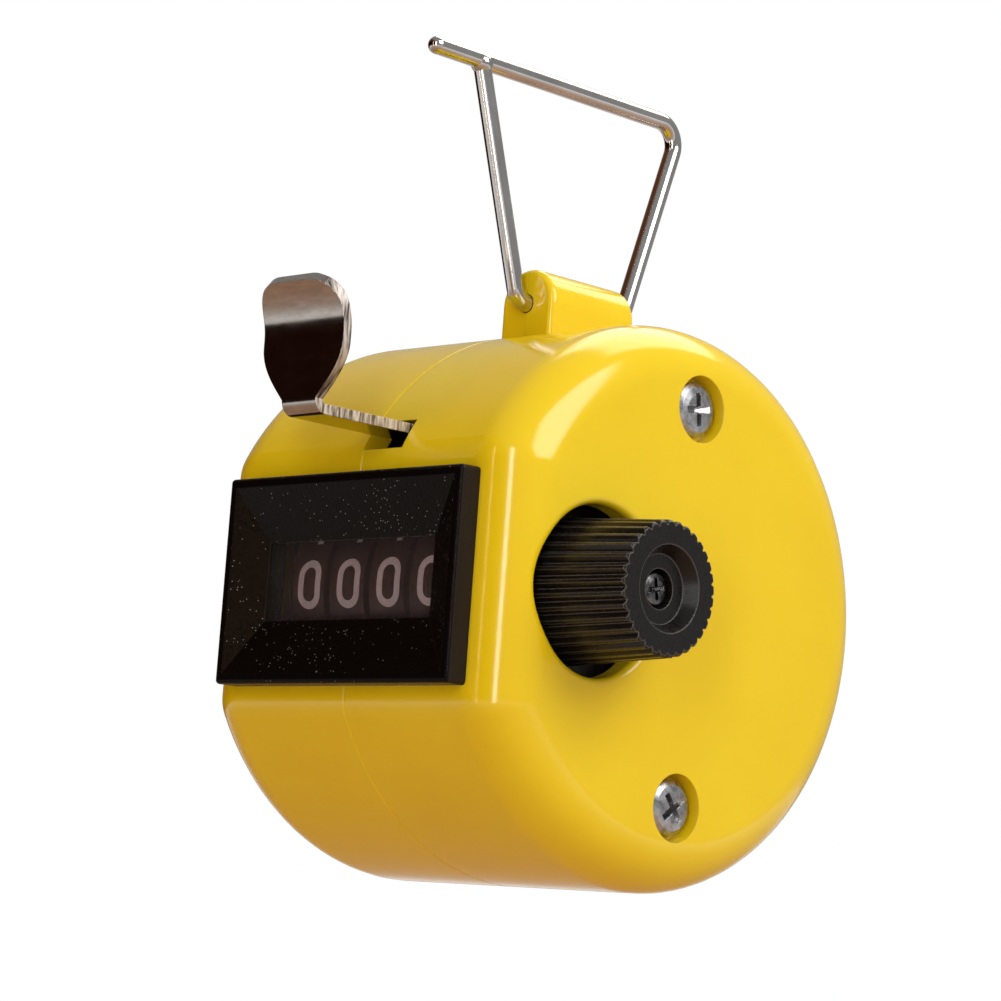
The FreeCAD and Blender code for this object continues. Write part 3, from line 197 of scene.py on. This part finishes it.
def black_abs():
    """Near-black, paler on the faces that look less forwards, with edges painted paler for wear
    and a highlight, grain on the slopes and painted glints on them.
    """
    material, tree, shader, place = start_material("grained_black_abs")
    normal = add(tree, "ShaderNodeTexCoord").outputs["Normal"]
    facing = add(tree, "ShaderNodeSeparateXYZ", {"Vector": normal})
    leaning = add(tree, "ShaderNodeMath", {0: facing.outputs["Y"], 1: RIM_FACES}, operation="GREATER_THAN")
    front = add(tree, "ShaderNodeMath", {0: facing.outputs["Y"], 1: SIDE_FACES}, operation="LESS_THAN")
    slope = add(tree, "ShaderNodeMath", {0: leaning.outputs[0], 1: front.outputs[0]}, operation="MULTIPLY")
    wear_and_highlight, soft = edge_wear_and_highlight(tree, 0.12, 0.12)
    # paler on the faces that look less forwards than SIDE_FACES, near-black on those that look forwards
    plain = add(tree, "ShaderNodeMix", {0: front.outputs[0], 6: linear("#261F19"), 7: linear("#0A0605")},
                data_type="RGBA")
    # paler edges: partly wear from handling, partly a painted highlight
    edged = add(tree, "ShaderNodeMix", {0: wear_and_highlight, 6: plain.outputs[2], 7: linear("#332C28")},
                data_type="RGBA")
    # painted glints: pale spots on the slopes only
    specks = add(tree, "ShaderNodeMath", {0: painted_glints(tree, place), 1: slope.outputs[0]},
                 operation="MULTIPLY")
    colour = add(tree, "ShaderNodeMix", {0: specks.outputs[0], 6: edged.outputs[2], 7: linear("#8E8C8C")},
                 data_type="RGBA")
    tree.links.new(colour.outputs[2], shader.inputs["Base Color"])
    fine = add(tree, "ShaderNodeTexNoise", {"Vector": place, "Scale": 1 / (0.15 * MM), "Detail": 4.0})
    rough = add(tree, "ShaderNodeMapRange", {"Value": fine.outputs["Fac"], "To Min": 0.18, "To Max": 0.42})
    tree.links.new(rough.outputs["Result"], shader.inputs["Roughness"])
    # spark pits 0.3 mm apart and 0.05 mm deep
    cell = add(tree, "ShaderNodeTexVoronoi", {"Vector": place, "Scale": 1 / (0.3 * MM)})
    pit = add(tree, "ShaderNodeMapRange", {
        "Value": cell.outputs["Distance"], "From Min": 0.1, "From Max": 0.4,
    })
    depth = add(tree, "ShaderNodeMath", {0: slope.outputs[0], 1: 0.35}, operation="MULTIPLY")
    bump = add(tree, "ShaderNodeBump", {"Height": pit.outputs["Result"], "Strength": depth.outputs[0],
                                        "Distance": 0.05 * MM, "Normal": soft})
    tree.links.new(bump.outputs["Normal"], shader.inputs["Normal"])
    shader.inputs["Specular IOR Level"].default_value = 0.1
    return material


finish_node("display_bezel", black_abs())
print("display frame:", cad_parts["display_bezel"].data.materials[0].name)

# %% [markdown]
# The knob is black ABS too, from a polished tool, with hair-fine flow lines along its flutes.

# %% Knob plastic
def knob_abs():
    """Polished black: flow lines 0.25 mm wide, drawn out along X as the resin ran, and edges
    painted pale, partly for wear and partly as a painted highlight.
    """
    material, tree, shader, place = start_material("polished_black_abs")
    smear = add(tree, "ShaderNodeMapping", {"Vector": place, "Scale": (0.15, 1.0, 1.0)})
    flow = add(tree, "ShaderNodeTexNoise", {"Vector": smear.outputs["Vector"], "Scale": 1 / (0.25 * MM),
                                            "Detail": 3.0})
    wear_and_highlight, soft = edge_wear_and_highlight(tree, 0.15, 0.1)
    plain = add(tree, "ShaderNodeValToRGB", {"Fac": flow.outputs["Fac"]},
                stops=[(0.3, linear("#0F0C0B")), (0.75, linear("#181412"))])
    # paler edges: partly wear, partly a painted highlight
    edges = add(tree, "ShaderNodeMix", {0: wear_and_highlight, 6: plain.outputs["Color"], 7: linear("#625E5C")},
                data_type="RGBA")
    tree.links.new(edges.outputs[2], shader.inputs["Base Color"])
    rough = add(tree, "ShaderNodeMapRange", {"Value": flow.outputs["Fac"], "To Min": 0.2, "To Max": 0.36})
    tree.links.new(rough.outputs["Result"], shader.inputs["Roughness"])
    bump = add(tree, "ShaderNodeBump", {"Height": flow.outputs["Fac"], "Strength": 0.06,
                                        "Distance": 0.02 * MM, "Normal": soft})
    tree.links.new(bump.outputs["Normal"], shader.inputs["Normal"])
    shader.inputs["Specular IOR Level"].default_value = 0.36
    return material


finish_node("reset_knob", knob_abs())
print("knob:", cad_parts["reset_knob"].data.materials[0].name)

# %% [markdown]
# The pane is clear moulded styrene. It is thin, so light passes it almost straight, and what the
# eye sees is mostly the soft reflection on its face.

# %% Clear pane
def clear_pane():
    """Clear, almost smooth, with waves 6 mm long left by the mould."""
    material, tree, shader, place = start_material("clear_styrene")
    shader.inputs["Base Color"].default_value = linear("#F2ECEC")
    shader.inputs["Roughness"].default_value = 0.04
    shader.inputs["IOR"].default_value = 1.45
    # a trace of dust and scratches scatters a little light back from the pane
    shader.inputs["Transmission Weight"].default_value = 0.985
    wave = add(tree, "ShaderNodeTexNoise", {"Vector": place, "Scale": 1 / (6 * MM), "Detail": 1.0})
    bump = add(tree, "ShaderNodeBump", {"Height": wave.outputs["Fac"], "Strength": 0.05,
                                        "Distance": 0.05 * MM})
    tree.links.new(bump.outputs["Normal"], shader.inputs["Normal"])
    return material


finish_node("display_window", clear_pane())
print("pane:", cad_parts["display_window"].data.materials[0].name)

# %% [markdown]
# Metals differ mostly in how they were worked. Plated wire is mirror-like, sheet that was rolled
# and then nickel plated has a soft directional haze, and zinc-plated screws are dull with specks.
# One function makes them all, with the colour, the roughness range and the grain as its choices.

# %% Metals
def metal(name, low, high, rough, grain_mm, stretch=(1.0, 1.0, 1.0), bump_mm=0.01, edge_mm=0.1):
    """A metal: two close tints, a roughness range and a grain of the given size in millimetres."""
    material, tree, shader, place = start_material(name)
    shader.inputs["Metallic"].default_value = 1.0
    drawn = add(tree, "ShaderNodeMapping", {"Vector": place, "Scale": stretch})
    grain = add(tree, "ShaderNodeTexNoise", {
        "Vector": drawn.outputs["Vector"], "Scale": 1 / (grain_mm * MM), "Detail": 4.0, "Roughness": 0.6,
    }).outputs["Fac"]
    tint = add(tree, "ShaderNodeValToRGB", {"Fac": grain}, stops=[(0.3, linear(low)), (0.7, linear(high))])
    tree.links.new(tint.outputs["Color"], shader.inputs["Base Color"])
    spread = add(tree, "ShaderNodeMapRange", {"Value": grain, "To Min": rough[0], "To Max": rough[1]})
    tree.links.new(spread.outputs["Result"], shader.inputs["Roughness"])
    edge = add(tree, "ShaderNodeBevel", {"Radius": edge_mm * MM}, samples=4)
    bump = add(tree, "ShaderNodeBump", {"Height": grain, "Strength": 0.25,
                                        "Distance": bump_mm * MM, "Normal": edge.outputs["Normal"]})
    tree.links.new(bump.outputs["Normal"], shader.inputs["Normal"])
    return material


plated_wire = metal("bright_plated_wire", "#B9B7B5", "#CFCDCB", (0.05, 0.14), 0.8, (1, 0.2, 0.2), 0.005)
plated_sheet = metal("nickel_plated_sheet", "#A69E97", "#BDB5AD", (0.1, 0.2), 0.5, (0.3, 1, 1), 0.006)
zinc_plate = metal("zinc_plated_steel", "#8F9093", "#C9C9CB", (0.16, 0.42), 0.5, bump_mm=0.02)
black_oxide = metal("black_oxide_steel", "#3C3B3C", "#7C7A7C", (0.14, 0.36), 0.4, bump_mm=0.02)
drawn_steel = metal("drawn_steel", "#9A9A9C", "#B4B4B6", (0.2, 0.35), 0.3, (0.1, 1, 1))
frame_steel = metal("rolled_frame_steel", "#84857F", "#9C9C96", (0.3, 0.5), 0.6)
for material, pieces in (
    (plated_wire, ("finger_ring",)),
    (plated_sheet, ("thumb_lever",)),
    (zinc_plate, ("casing_screws", "detent_screw")),
    (black_oxide, ("knob_screw", "axle_clip")),
    (drawn_steel, ("lever_pivot_pin", "pawl_pin", "drive_pawl", "main_axle", "pinion_shaft",
                   "frame_spacers", "lever_return_spring", "detent_spring")),
    (frame_steel, ("left_frame_plate", "right_frame_plate")),
):
    for piece in pieces:
        finish_node(piece, material)
    print(material.name, "on", len(pieces))

# %% [markdown]
# The lever is cut from its sheet with a punch. A punched edge is half burnished and half torn, so
# it carries fine upright scratches and looks paler and duller than the rolled faces. The edges are
# the faces that look left or right, which is how the finish finds them.

# %% Sheared edges of the lever
def shear_edges(material):
    """Add scratches 0.2 mm apart, drawn out through the sheet, where the face looks along X."""
    tree = material.node_tree
    shader = next(node for node in tree.nodes if node.type == "BSDF_PRINCIPLED")
    changed = ("Base Color", "Roughness", "Normal")
    under = {name: shader.inputs[name].links[0].from_socket for name in changed}
    sources = add(tree, "ShaderNodeTexCoord").outputs
    facing = add(tree, "ShaderNodeSeparateXYZ", {"Vector": sources["Normal"]})
    side = add(tree, "ShaderNodeMath", {0: facing.outputs["X"]}, operation="ABSOLUTE")
    cut = add(tree, "ShaderNodeMath", {0: side.outputs[0], 1: 0.6}, operation="GREATER_THAN").outputs[0]
    drawn = add(tree, "ShaderNodeMapping", {"Vector": sources["Object"], "Scale": (0.2, 1.0, 0.12)})
    torn = add(tree, "ShaderNodeTexNoise", {
        "Vector": drawn.outputs["Vector"], "Scale": 1 / (0.22 * MM), "Detail": 2.0,
    }).outputs["Fac"]
    tint = add(tree, "ShaderNodeValToRGB", {"Fac": torn},
               stops=[(0.35, linear("#6E655E")), (0.6, linear("#D9CFC6"))])
    colour = add(tree, "ShaderNodeMix", {0: cut, 6: under["Base Color"], 7: tint.outputs["Color"]},
                 data_type="RGBA")
    tree.links.new(colour.outputs[2], shader.inputs["Base Color"])
    rough = add(tree, "ShaderNodeMix", {0: cut, 2: under["Roughness"], 3: torn}, data_type="FLOAT")
    tree.links.new(rough.outputs[0], shader.inputs["Roughness"])
    depth = add(tree, "ShaderNodeMath", {0: cut, 1: 0.7}, operation="MULTIPLY")
    bump = add(tree, "ShaderNodeBump", {"Height": torn, "Strength": depth.outputs[0],
                                        "Distance": 0.06 * MM, "Normal": under["Normal"]})
    tree.links.new(bump.outputs["Normal"], shader.inputs["Normal"])


shear_edges(plated_sheet)
print("edges finished on", plated_sheet.name)

# %% [markdown]
# The wheels are dark brown styrene and the pinions, ratchet and washer are pale acetal, which
# runs dry against steel. Acetal is waxy, so it gets a little light under its surface.

# %% Wheel and gear plastics
def plain_plastic(name, low, high, rough, grain_mm, under=0.0):
    """A moulded plastic: two close tints, a roughness range, a grain size and light underneath."""
    material, tree, shader, place = start_material(name)
    grain = add(tree, "ShaderNodeTexNoise", {
        "Vector": place, "Scale": 1 / (grain_mm * MM), "Detail": 3.0,
    }).outputs["Fac"]
    tint = add(tree, "ShaderNodeValToRGB", {"Fac": grain}, stops=[(0.35, linear(low)), (0.7, linear(high))])
    tree.links.new(tint.outputs["Color"], shader.inputs["Base Color"])
    spread = add(tree, "ShaderNodeMapRange", {"Value": grain, "To Min": rough[0], "To Max": rough[1]})
    tree.links.new(spread.outputs["Result"], shader.inputs["Roughness"])
    bump = add(tree, "ShaderNodeBump", {"Height": grain, "Strength": 0.2, "Distance": 0.02 * MM})
    tree.links.new(bump.outputs["Normal"], shader.inputs["Normal"])
    shader.inputs["Subsurface Weight"].default_value = under
    shader.inputs["Subsurface Scale"].default_value = 0.4 * MM
    return material


wheel_styrene = plain_plastic("brown_wheel_styrene", "#3F2A2A", "#4D3534", (0.35, 0.5), 0.5)
acetal = plain_plastic("white_acetal", "#DAD6CA", "#E6E3D8", (0.3, 0.42), 0.6, 0.3)
for node in ("units_wheel", "tens_wheel", "hundreds_wheel", "thousands_wheel"):
    finish_node(node, wheel_styrene)
for node in ("tens_pinion", "hundreds_pinion", "thousands_pinion", "ratchet_wheel", "thrust_washer"):
    finish_node(node, acetal)
print("wheels:", wheel_styrene.name, "gears:", acetal.name)

# %% [markdown]
# The numerals are pad-printed: a film of ink a few hundredths of a millimetre thick that follows
# the wheel's curve. Each digit is a pen stroke, so it is drawn as a path of lines and arcs, given
# a width, and wrapped round the wheel. Drawing all ten by their strokes keeps them one family.

# %% Strokes of the ten digits
DIGIT_W = 2.62 * MM
DIGIT_H = 4.05 * MM
STROKE = 0.62 * MM


def arc(cx, cy, rx, ry, start, end, steps=14):
    """Points of an ellipse arc: centre plus (rx cos t, ry sin t), t from start to end in degrees."""
    t = np.radians(np.linspace(start, end, steps))
    return np.column_stack([cx + rx * np.cos(t), cy + ry * np.sin(t)])


def line(*points):
    """Corner points joined by straight lines."""
    return np.array(points, float)


def digit_paths():
    """Each digit as strokes in a cell that is 1 wide and 1 tall, centred on 0."""
    w, h = 0.5, 0.5
    oval = np.vstack([
        arc(0, h - 0.28, w, 0.28, 0, 180), arc(0, 0.28 - h, w, 0.28, 180, 360), line((w, h - 0.28)),
    ])
    six = np.vstack([arc(0, 0.24, w, 0.26, 30, 180), arc(0, -0.2, w, 0.3, 180, 360),
                     arc(0, -0.2, w, 0.28, 0, 180)])
    return [
        [oval],
        [line((-0.2, 0.3), (0.08, 0.5), (0.08, -0.5))],
        [np.vstack([arc(0, 0.22, w, 0.28, 165, -20), line((-w, -h), (w, -h))])],
        [np.vstack([arc(-0.05, 0.25, 0.48, 0.25, 150, -90), arc(-0.05, -0.22, w, 0.28, 90, -150)])],
        [line((0.2, -h), (0.2, h), (-w, -0.2), (w, -0.2))],
        [np.vstack([line((0.45, h), (-0.4, h), (-0.45, 0.05)), arc(-0.02, -0.18, 0.5, 0.32, 130, -150)])],
        [six],
        [line((-w, h), (w, h), (-0.1, -h))],
        [np.vstack([arc(0, 0.26, 0.42, 0.24, -90, 270, 24), arc(0, -0.24, w, 0.26, 90, 450, 24)])],
        [-six],
    ]


print("strokes in each digit:", [len(strokes) for strokes in digit_paths()])

# %% [markdown]
# A pen stroke is its path moved half a width to each side. At a corner the two sides meet on the
# mitre, which is longer than half a width by one over the cosine of half the turn. Straight lines
# get extra points too, since they have to bend round the wheel.

# %% Pen strokes
STROKE_STEPS = 36


def refined(path):
    """The same path with more points: its corners, and even steps of its length between them."""
    path = path[np.r_[True, np.linalg.norm(np.diff(path, axis=0), axis=1) > 1e-9]]
    run = np.r_[0, np.cumsum(np.linalg.norm(np.diff(path, axis=0), axis=1))]
    places = np.unique(np.round(np.r_[run, np.linspace(0, run[-1], STROKE_STEPS)] / run[-1], 3)) * run[-1]
    return np.column_stack([np.interp(places, run, path[:, k]) for k in (0, 1)])


def ribbon(path, width):
    """Left and right edges of a pen stroke: the path moved half a width along its mitred normals."""
    path = refined(path)
    closed = np.linalg.norm(path[0] - path[-1]) < 1e-6
    step = np.diff(path, axis=0)
    step /= np.linalg.norm(step, axis=1, keepdims=True)
    ends = (step[-1:], step[:1]) if closed else (step[:1], step[-1:])
    before = np.vstack([ends[0], step])
    after = np.vstack([step, ends[1]])
    tangent = before + after
    tangent /= np.linalg.norm(tangent, axis=1, keepdims=True)
    normal = np.column_stack([-tangent[:, 1], tangent[:, 0]])
    mitre = np.clip(np.sum(normal * np.column_stack([-before[:, 1], before[:, 0]]), axis=1), 0.5, 1)
    shift = normal * (width / 2 / mitre)[:, None]
    return path + shift, path - shift


print("points along a refined line:", len(refined(line((0, 0), (0, 1)))))

# %% [markdown]
# Now the flat strokes go round the wheel. Distance along the rim becomes an angle, and the film of
# ink gets an inside just under the rim's surface and an outside just above it, so that each stroke
# is a closed strip with four corners at every step.

# %% Wrap the digits round a wheel
INK = 0.03 * MM
INK_SUNK = 0.3           # share of the film that lies under the rim's surface


def mesh_object(name, points, faces):
    """A mesh from whole arrays of points and faces, placed at the origin."""
    mesh = bpy.data.meshes.new(name)
    mesh.from_pydata(points.tolist(), [], faces.tolist())
    mesh.update()
    piece = bpy.data.objects.new(name, mesh)
    bpy.context.scene.collection.objects.link(piece)
    return piece


def strip_faces(count, first):
    """Closed box section along a stroke: four corners per step, joined round and capped."""
    step = np.arange(count - 1)[:, None] * 4 + first
    around = ((1, 0), (2, 1), (3, 2), (0, 3))
    rows = [np.hstack([step + a, step + b, step + 4 + b, step + 4 + a]) for a, b in around]
    caps = np.array([np.arange(4), np.arange(4)[::-1] + (count - 1) * 4]) + first
    return np.vstack(rows + [caps])


def wheel_numerals(name, middle_x, radius):
    """Ten digits wrapped round a wheel: x is across the rim, height becomes an angle, ink a radius.
    Digit k faces the front when the wheel has turned k tenths, so it sits k tenths further round."""
    points, faces, total = [], [], 0
    for digit, strokes in enumerate(digit_paths()):
        for stroke in strokes:
            size = np.array([DIGIT_W - STROKE, DIGIT_H - STROKE])
            left, right = ribbon(stroke * size, STROKE)
            flat = np.stack([left, right, right, left], axis=1).reshape(-1, 2)
            depth = np.tile([0.0, 0.0, INK, INK], len(left)) + radius - INK * INK_SUNK
            angle = math.pi - flat[:, 1] / radius - digit * math.tau / 10
            points.append(np.column_stack([
                middle_x + flat[:, 0], AXLE_Y + depth * np.cos(angle), depth * np.sin(angle),
            ]))
            faces.append(strip_faces(len(left), total))
            total += len(points[-1])
    return mesh_object(name, np.vstack(points), np.vstack(faces))


print("ink stands proud by", round(INK * (1 - INK_SUNK) / MM, 3), "mm")

# %% [markdown]
# The ink is a matt pale lilac grey, a little uneven where the pad laid it down. Each set of
# numerals rides on its own wheel's body, so it turns when the wheel does. The four rims sit evenly
# about the seam. The tens and hundreds wheels are alike, so they give the step between rims.

# %% Print the numerals
PRINT_SHIFT = 0.22 * MM  # the pad lays the digits a little right of the middle of each rim


def numeral_ink():
    """Matt ink with blotches 0.3 mm wide."""
    material, tree, shader, place = start_material("printed_pale_ink")
    film = add(tree, "ShaderNodeTexNoise", {"Vector": place, "Scale": 1 / (0.3 * MM), "Detail": 3.0})
    tint = add(tree, "ShaderNodeValToRGB", {"Fac": film.outputs["Fac"]},
               stops=[(0.3, linear("#D2C8CD")), (0.7, linear("#E6DDE2"))])
    tree.links.new(tint.outputs["Color"], shader.inputs["Base Color"])
    shader.inputs["Roughness"].default_value = 0.5
    return material


ink_finish = numeral_ink()
wheel_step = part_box("tens_wheel")[1].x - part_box("hundreds_wheel")[1].x
for body, seat in (("units", 1.5), ("tens", 0.5), ("hundreds", -0.5), ("thousands", -1.5)):
    numerals = wheel_numerals(f"{body}_numerals", SEAM_X + seat * wheel_step + PRINT_SHIFT, WHEEL_R)
    numerals.data.materials.append(ink_finish)
    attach(numerals, body)
    print(numerals.name, len(numerals.data.polygons), "faces")

# %% [markdown]
# The camera looks at the counter from its knob side and slightly from below, as a person does who
# holds it up. A long lens keeps the drum's ellipses gentle. The direction is written as an azimuth,
# an elevation and a small lean, and the distance as millimetres from the aim point.

# %% Camera
AIM = Vector((15.8, -3.0, 9.05)) * MM
AZIMUTH = math.radians(44.95)
ELEVATION = math.radians(-7.65)
LEAN = math.radians(4.15)
DISTANCE = 275.3 * MM
LENS = 117.9
SENSOR = 36.0


def studio_camera():
    """A camera whose back axis points from the aim point along azimuth and elevation. Its right
    and up axes are then turned about the back axis by the lean."""
    right = Vector((math.cos(AZIMUTH), math.sin(AZIMUTH), 0))
    back = Vector((
        math.sin(AZIMUTH) * math.cos(ELEVATION),
        -math.cos(AZIMUTH) * math.cos(ELEVATION),
        math.sin(ELEVATION),
    ))
    up = back.cross(right)
    leaned_right = right * math.cos(LEAN) + up * math.sin(LEAN)
    leaned_up = up * math.cos(LEAN) - right * math.sin(LEAN)
    camera = bpy.data.objects.new("camera", bpy.data.cameras.new("camera"))
    bpy.context.scene.collection.objects.link(camera)
    turn = Matrix((leaned_right, leaned_up, back)).transposed().to_4x4()
    camera.matrix_world = Matrix.Translation(AIM + back * DISTANCE) @ turn
    camera.data.sensor_width = SENSOR
    camera.data.lens = LENS
    camera.data.clip_start = 0.01
    camera.data.clip_end = 20.0
    bpy.context.scene.camera = camera
    return camera


camera = studio_camera()
print("camera at", [round(c / MM) for c in camera.location], "mm")

# %% [markdown]
# The counter floats over a sheet of warm pale paper, well below it. The paper lights the underside
# softly, and it fades to white with distance, so that no edge of it shows behind the object.

# %% Floor
FLOOR_LEVEL = -110 * MM
FLOOR_HALF = 800 * MM


def grey(level):
    """A neutral linear colour."""
    return (level, level, level, 1.0)


def pale_floor():
    """A level square of warm pale paper that fades to plain white beyond the object."""
    points = np.array([
        (-FLOOR_HALF, -FLOOR_HALF, FLOOR_LEVEL), (FLOOR_HALF, -FLOOR_HALF, FLOOR_LEVEL),
        (FLOOR_HALF, FLOOR_HALF, FLOOR_LEVEL), (-FLOOR_HALF, FLOOR_HALF, FLOOR_LEVEL),
    ])
    floor = mesh_object("floor", points, np.array([[0, 1, 2, 3]]))
    material, tree, shader, place = start_material("pale_paper")
    shader.inputs["Base Color"].default_value = linear("#BF9C80")
    shader.inputs["Roughness"].default_value = 0.9
    reach = add(tree, "ShaderNodeVectorMath", {0: place}, operation="LENGTH")
    far = add(tree, "ShaderNodeMapRange", {
        "Value": reach.outputs["Value"], "From Min": 120 * MM, "From Max": FLOOR_HALF * 0.9,
    }, interpolation_type="SMOOTHSTEP")
    white = add(tree, "ShaderNodeEmission", {"Color": grey(1.0), "Strength": 1.0})
    both = add(tree, "ShaderNodeMixShader", {
        0: far.outputs["Result"], 1: shader.outputs[0], 2: white.outputs[0],
    })
    output = next(node for node in tree.nodes if node.type == "OUTPUT_MATERIAL")
    tree.links.new(both.outputs[0], output.inputs["Surface"])
    floor.data.materials.append(material)
    return floor


print("floor at", round(pale_floor().bound_box[0][2] / MM), "mm")

# %% [markdown]
# Gloss plastic shows the shape of every light, so the lights are wide panels whose edges lie where
# the streaks on the rounded rim should end. The side key fills the round face, the overhead one
# draws the long streak on top of the drum, and two upright strips in front draw the thin lines
# down the rounded edges.

# %% Lights
PANEL_AIM = Vector((SEAM_X, 0, 5 * MM))


def soft_panel(name, place, width, height, power, tint="#FFFFFF"):
    """A rectangular area light that faces the aim point. Lengths are in millimetres."""
    light = bpy.data.lights.new(name, "AREA")
    light.shape = "RECTANGLE"
    light.size = width * MM
    light.size_y = height * MM
    light.energy = power
    light.color = linear(tint)[:3]
    panel = bpy.data.objects.new(name, light)
    bpy.context.scene.collection.objects.link(panel)
    place = Vector(place) * MM
    turn = (place - PANEL_AIM).to_track_quat("Z", "Y").to_matrix().to_4x4()
    panel.matrix_world = Matrix.Translation(place) @ turn
    print(name, power, "W")


soft_panel("side_key", (430, 60, 300), 320, 320, 1.52)
soft_panel("overhead", (-40, 240, 420), 420, 300, 1.5, "#FFF1E2")
soft_panel("front_strip", (290, -420, 0), 60, 640, 1.15)
soft_panel("left_strip", (-10, -480, 10), 12, 600, 0.3, "#FFD2A0")

# %% [markdown]
# Gloss black only looks black when it has something dark to mirror. The surround is therefore
# white on the knob side and behind, and falls to a dim warm brown towards the front left, where
# the display and the lever look. Seen directly it stays a plain white.

# %% Surround
DIM_SIDE = Vector((-0.55, -0.68, -0.48))


def surround():
    """A world whose colour goes by how nearly a direction points at the dim side."""
    world = bpy.data.worlds.new("surround")
    bpy.context.scene.world = world
    world.use_nodes = True
    tree = world.node_tree
    tree.nodes.clear()
    way = add(tree, "ShaderNodeTexCoord").outputs["Generated"]
    towards = add(tree, "ShaderNodeVectorMath", {0: way, 1: DIM_SIDE}, operation="DOT_PRODUCT")
    tint = add(tree, "ShaderNodeValToRGB", {"Fac": towards.outputs["Value"]}, stops=[
        (0.0, grey(0.85)), (0.3, linear("#A86C48")), (0.6, linear("#34190E")),
    ])
    lit = add(tree, "ShaderNodeBackground", {"Color": tint.outputs["Color"], "Strength": 0.42})
    seen = add(tree, "ShaderNodeBackground", {"Color": grey(1.0), "Strength": 1.0})
    ray = add(tree, "ShaderNodeLightPath")
    both = add(tree, "ShaderNodeMixShader", {
        0: ray.outputs["Is Camera Ray"], 1: lit.outputs[0], 2: seen.outputs[0],
    })
    add(tree, "ShaderNodeOutputWorld", {"Surface": both.outputs[0]})


surround()
bpy.context.scene.view_settings.view_transform = "Standard"
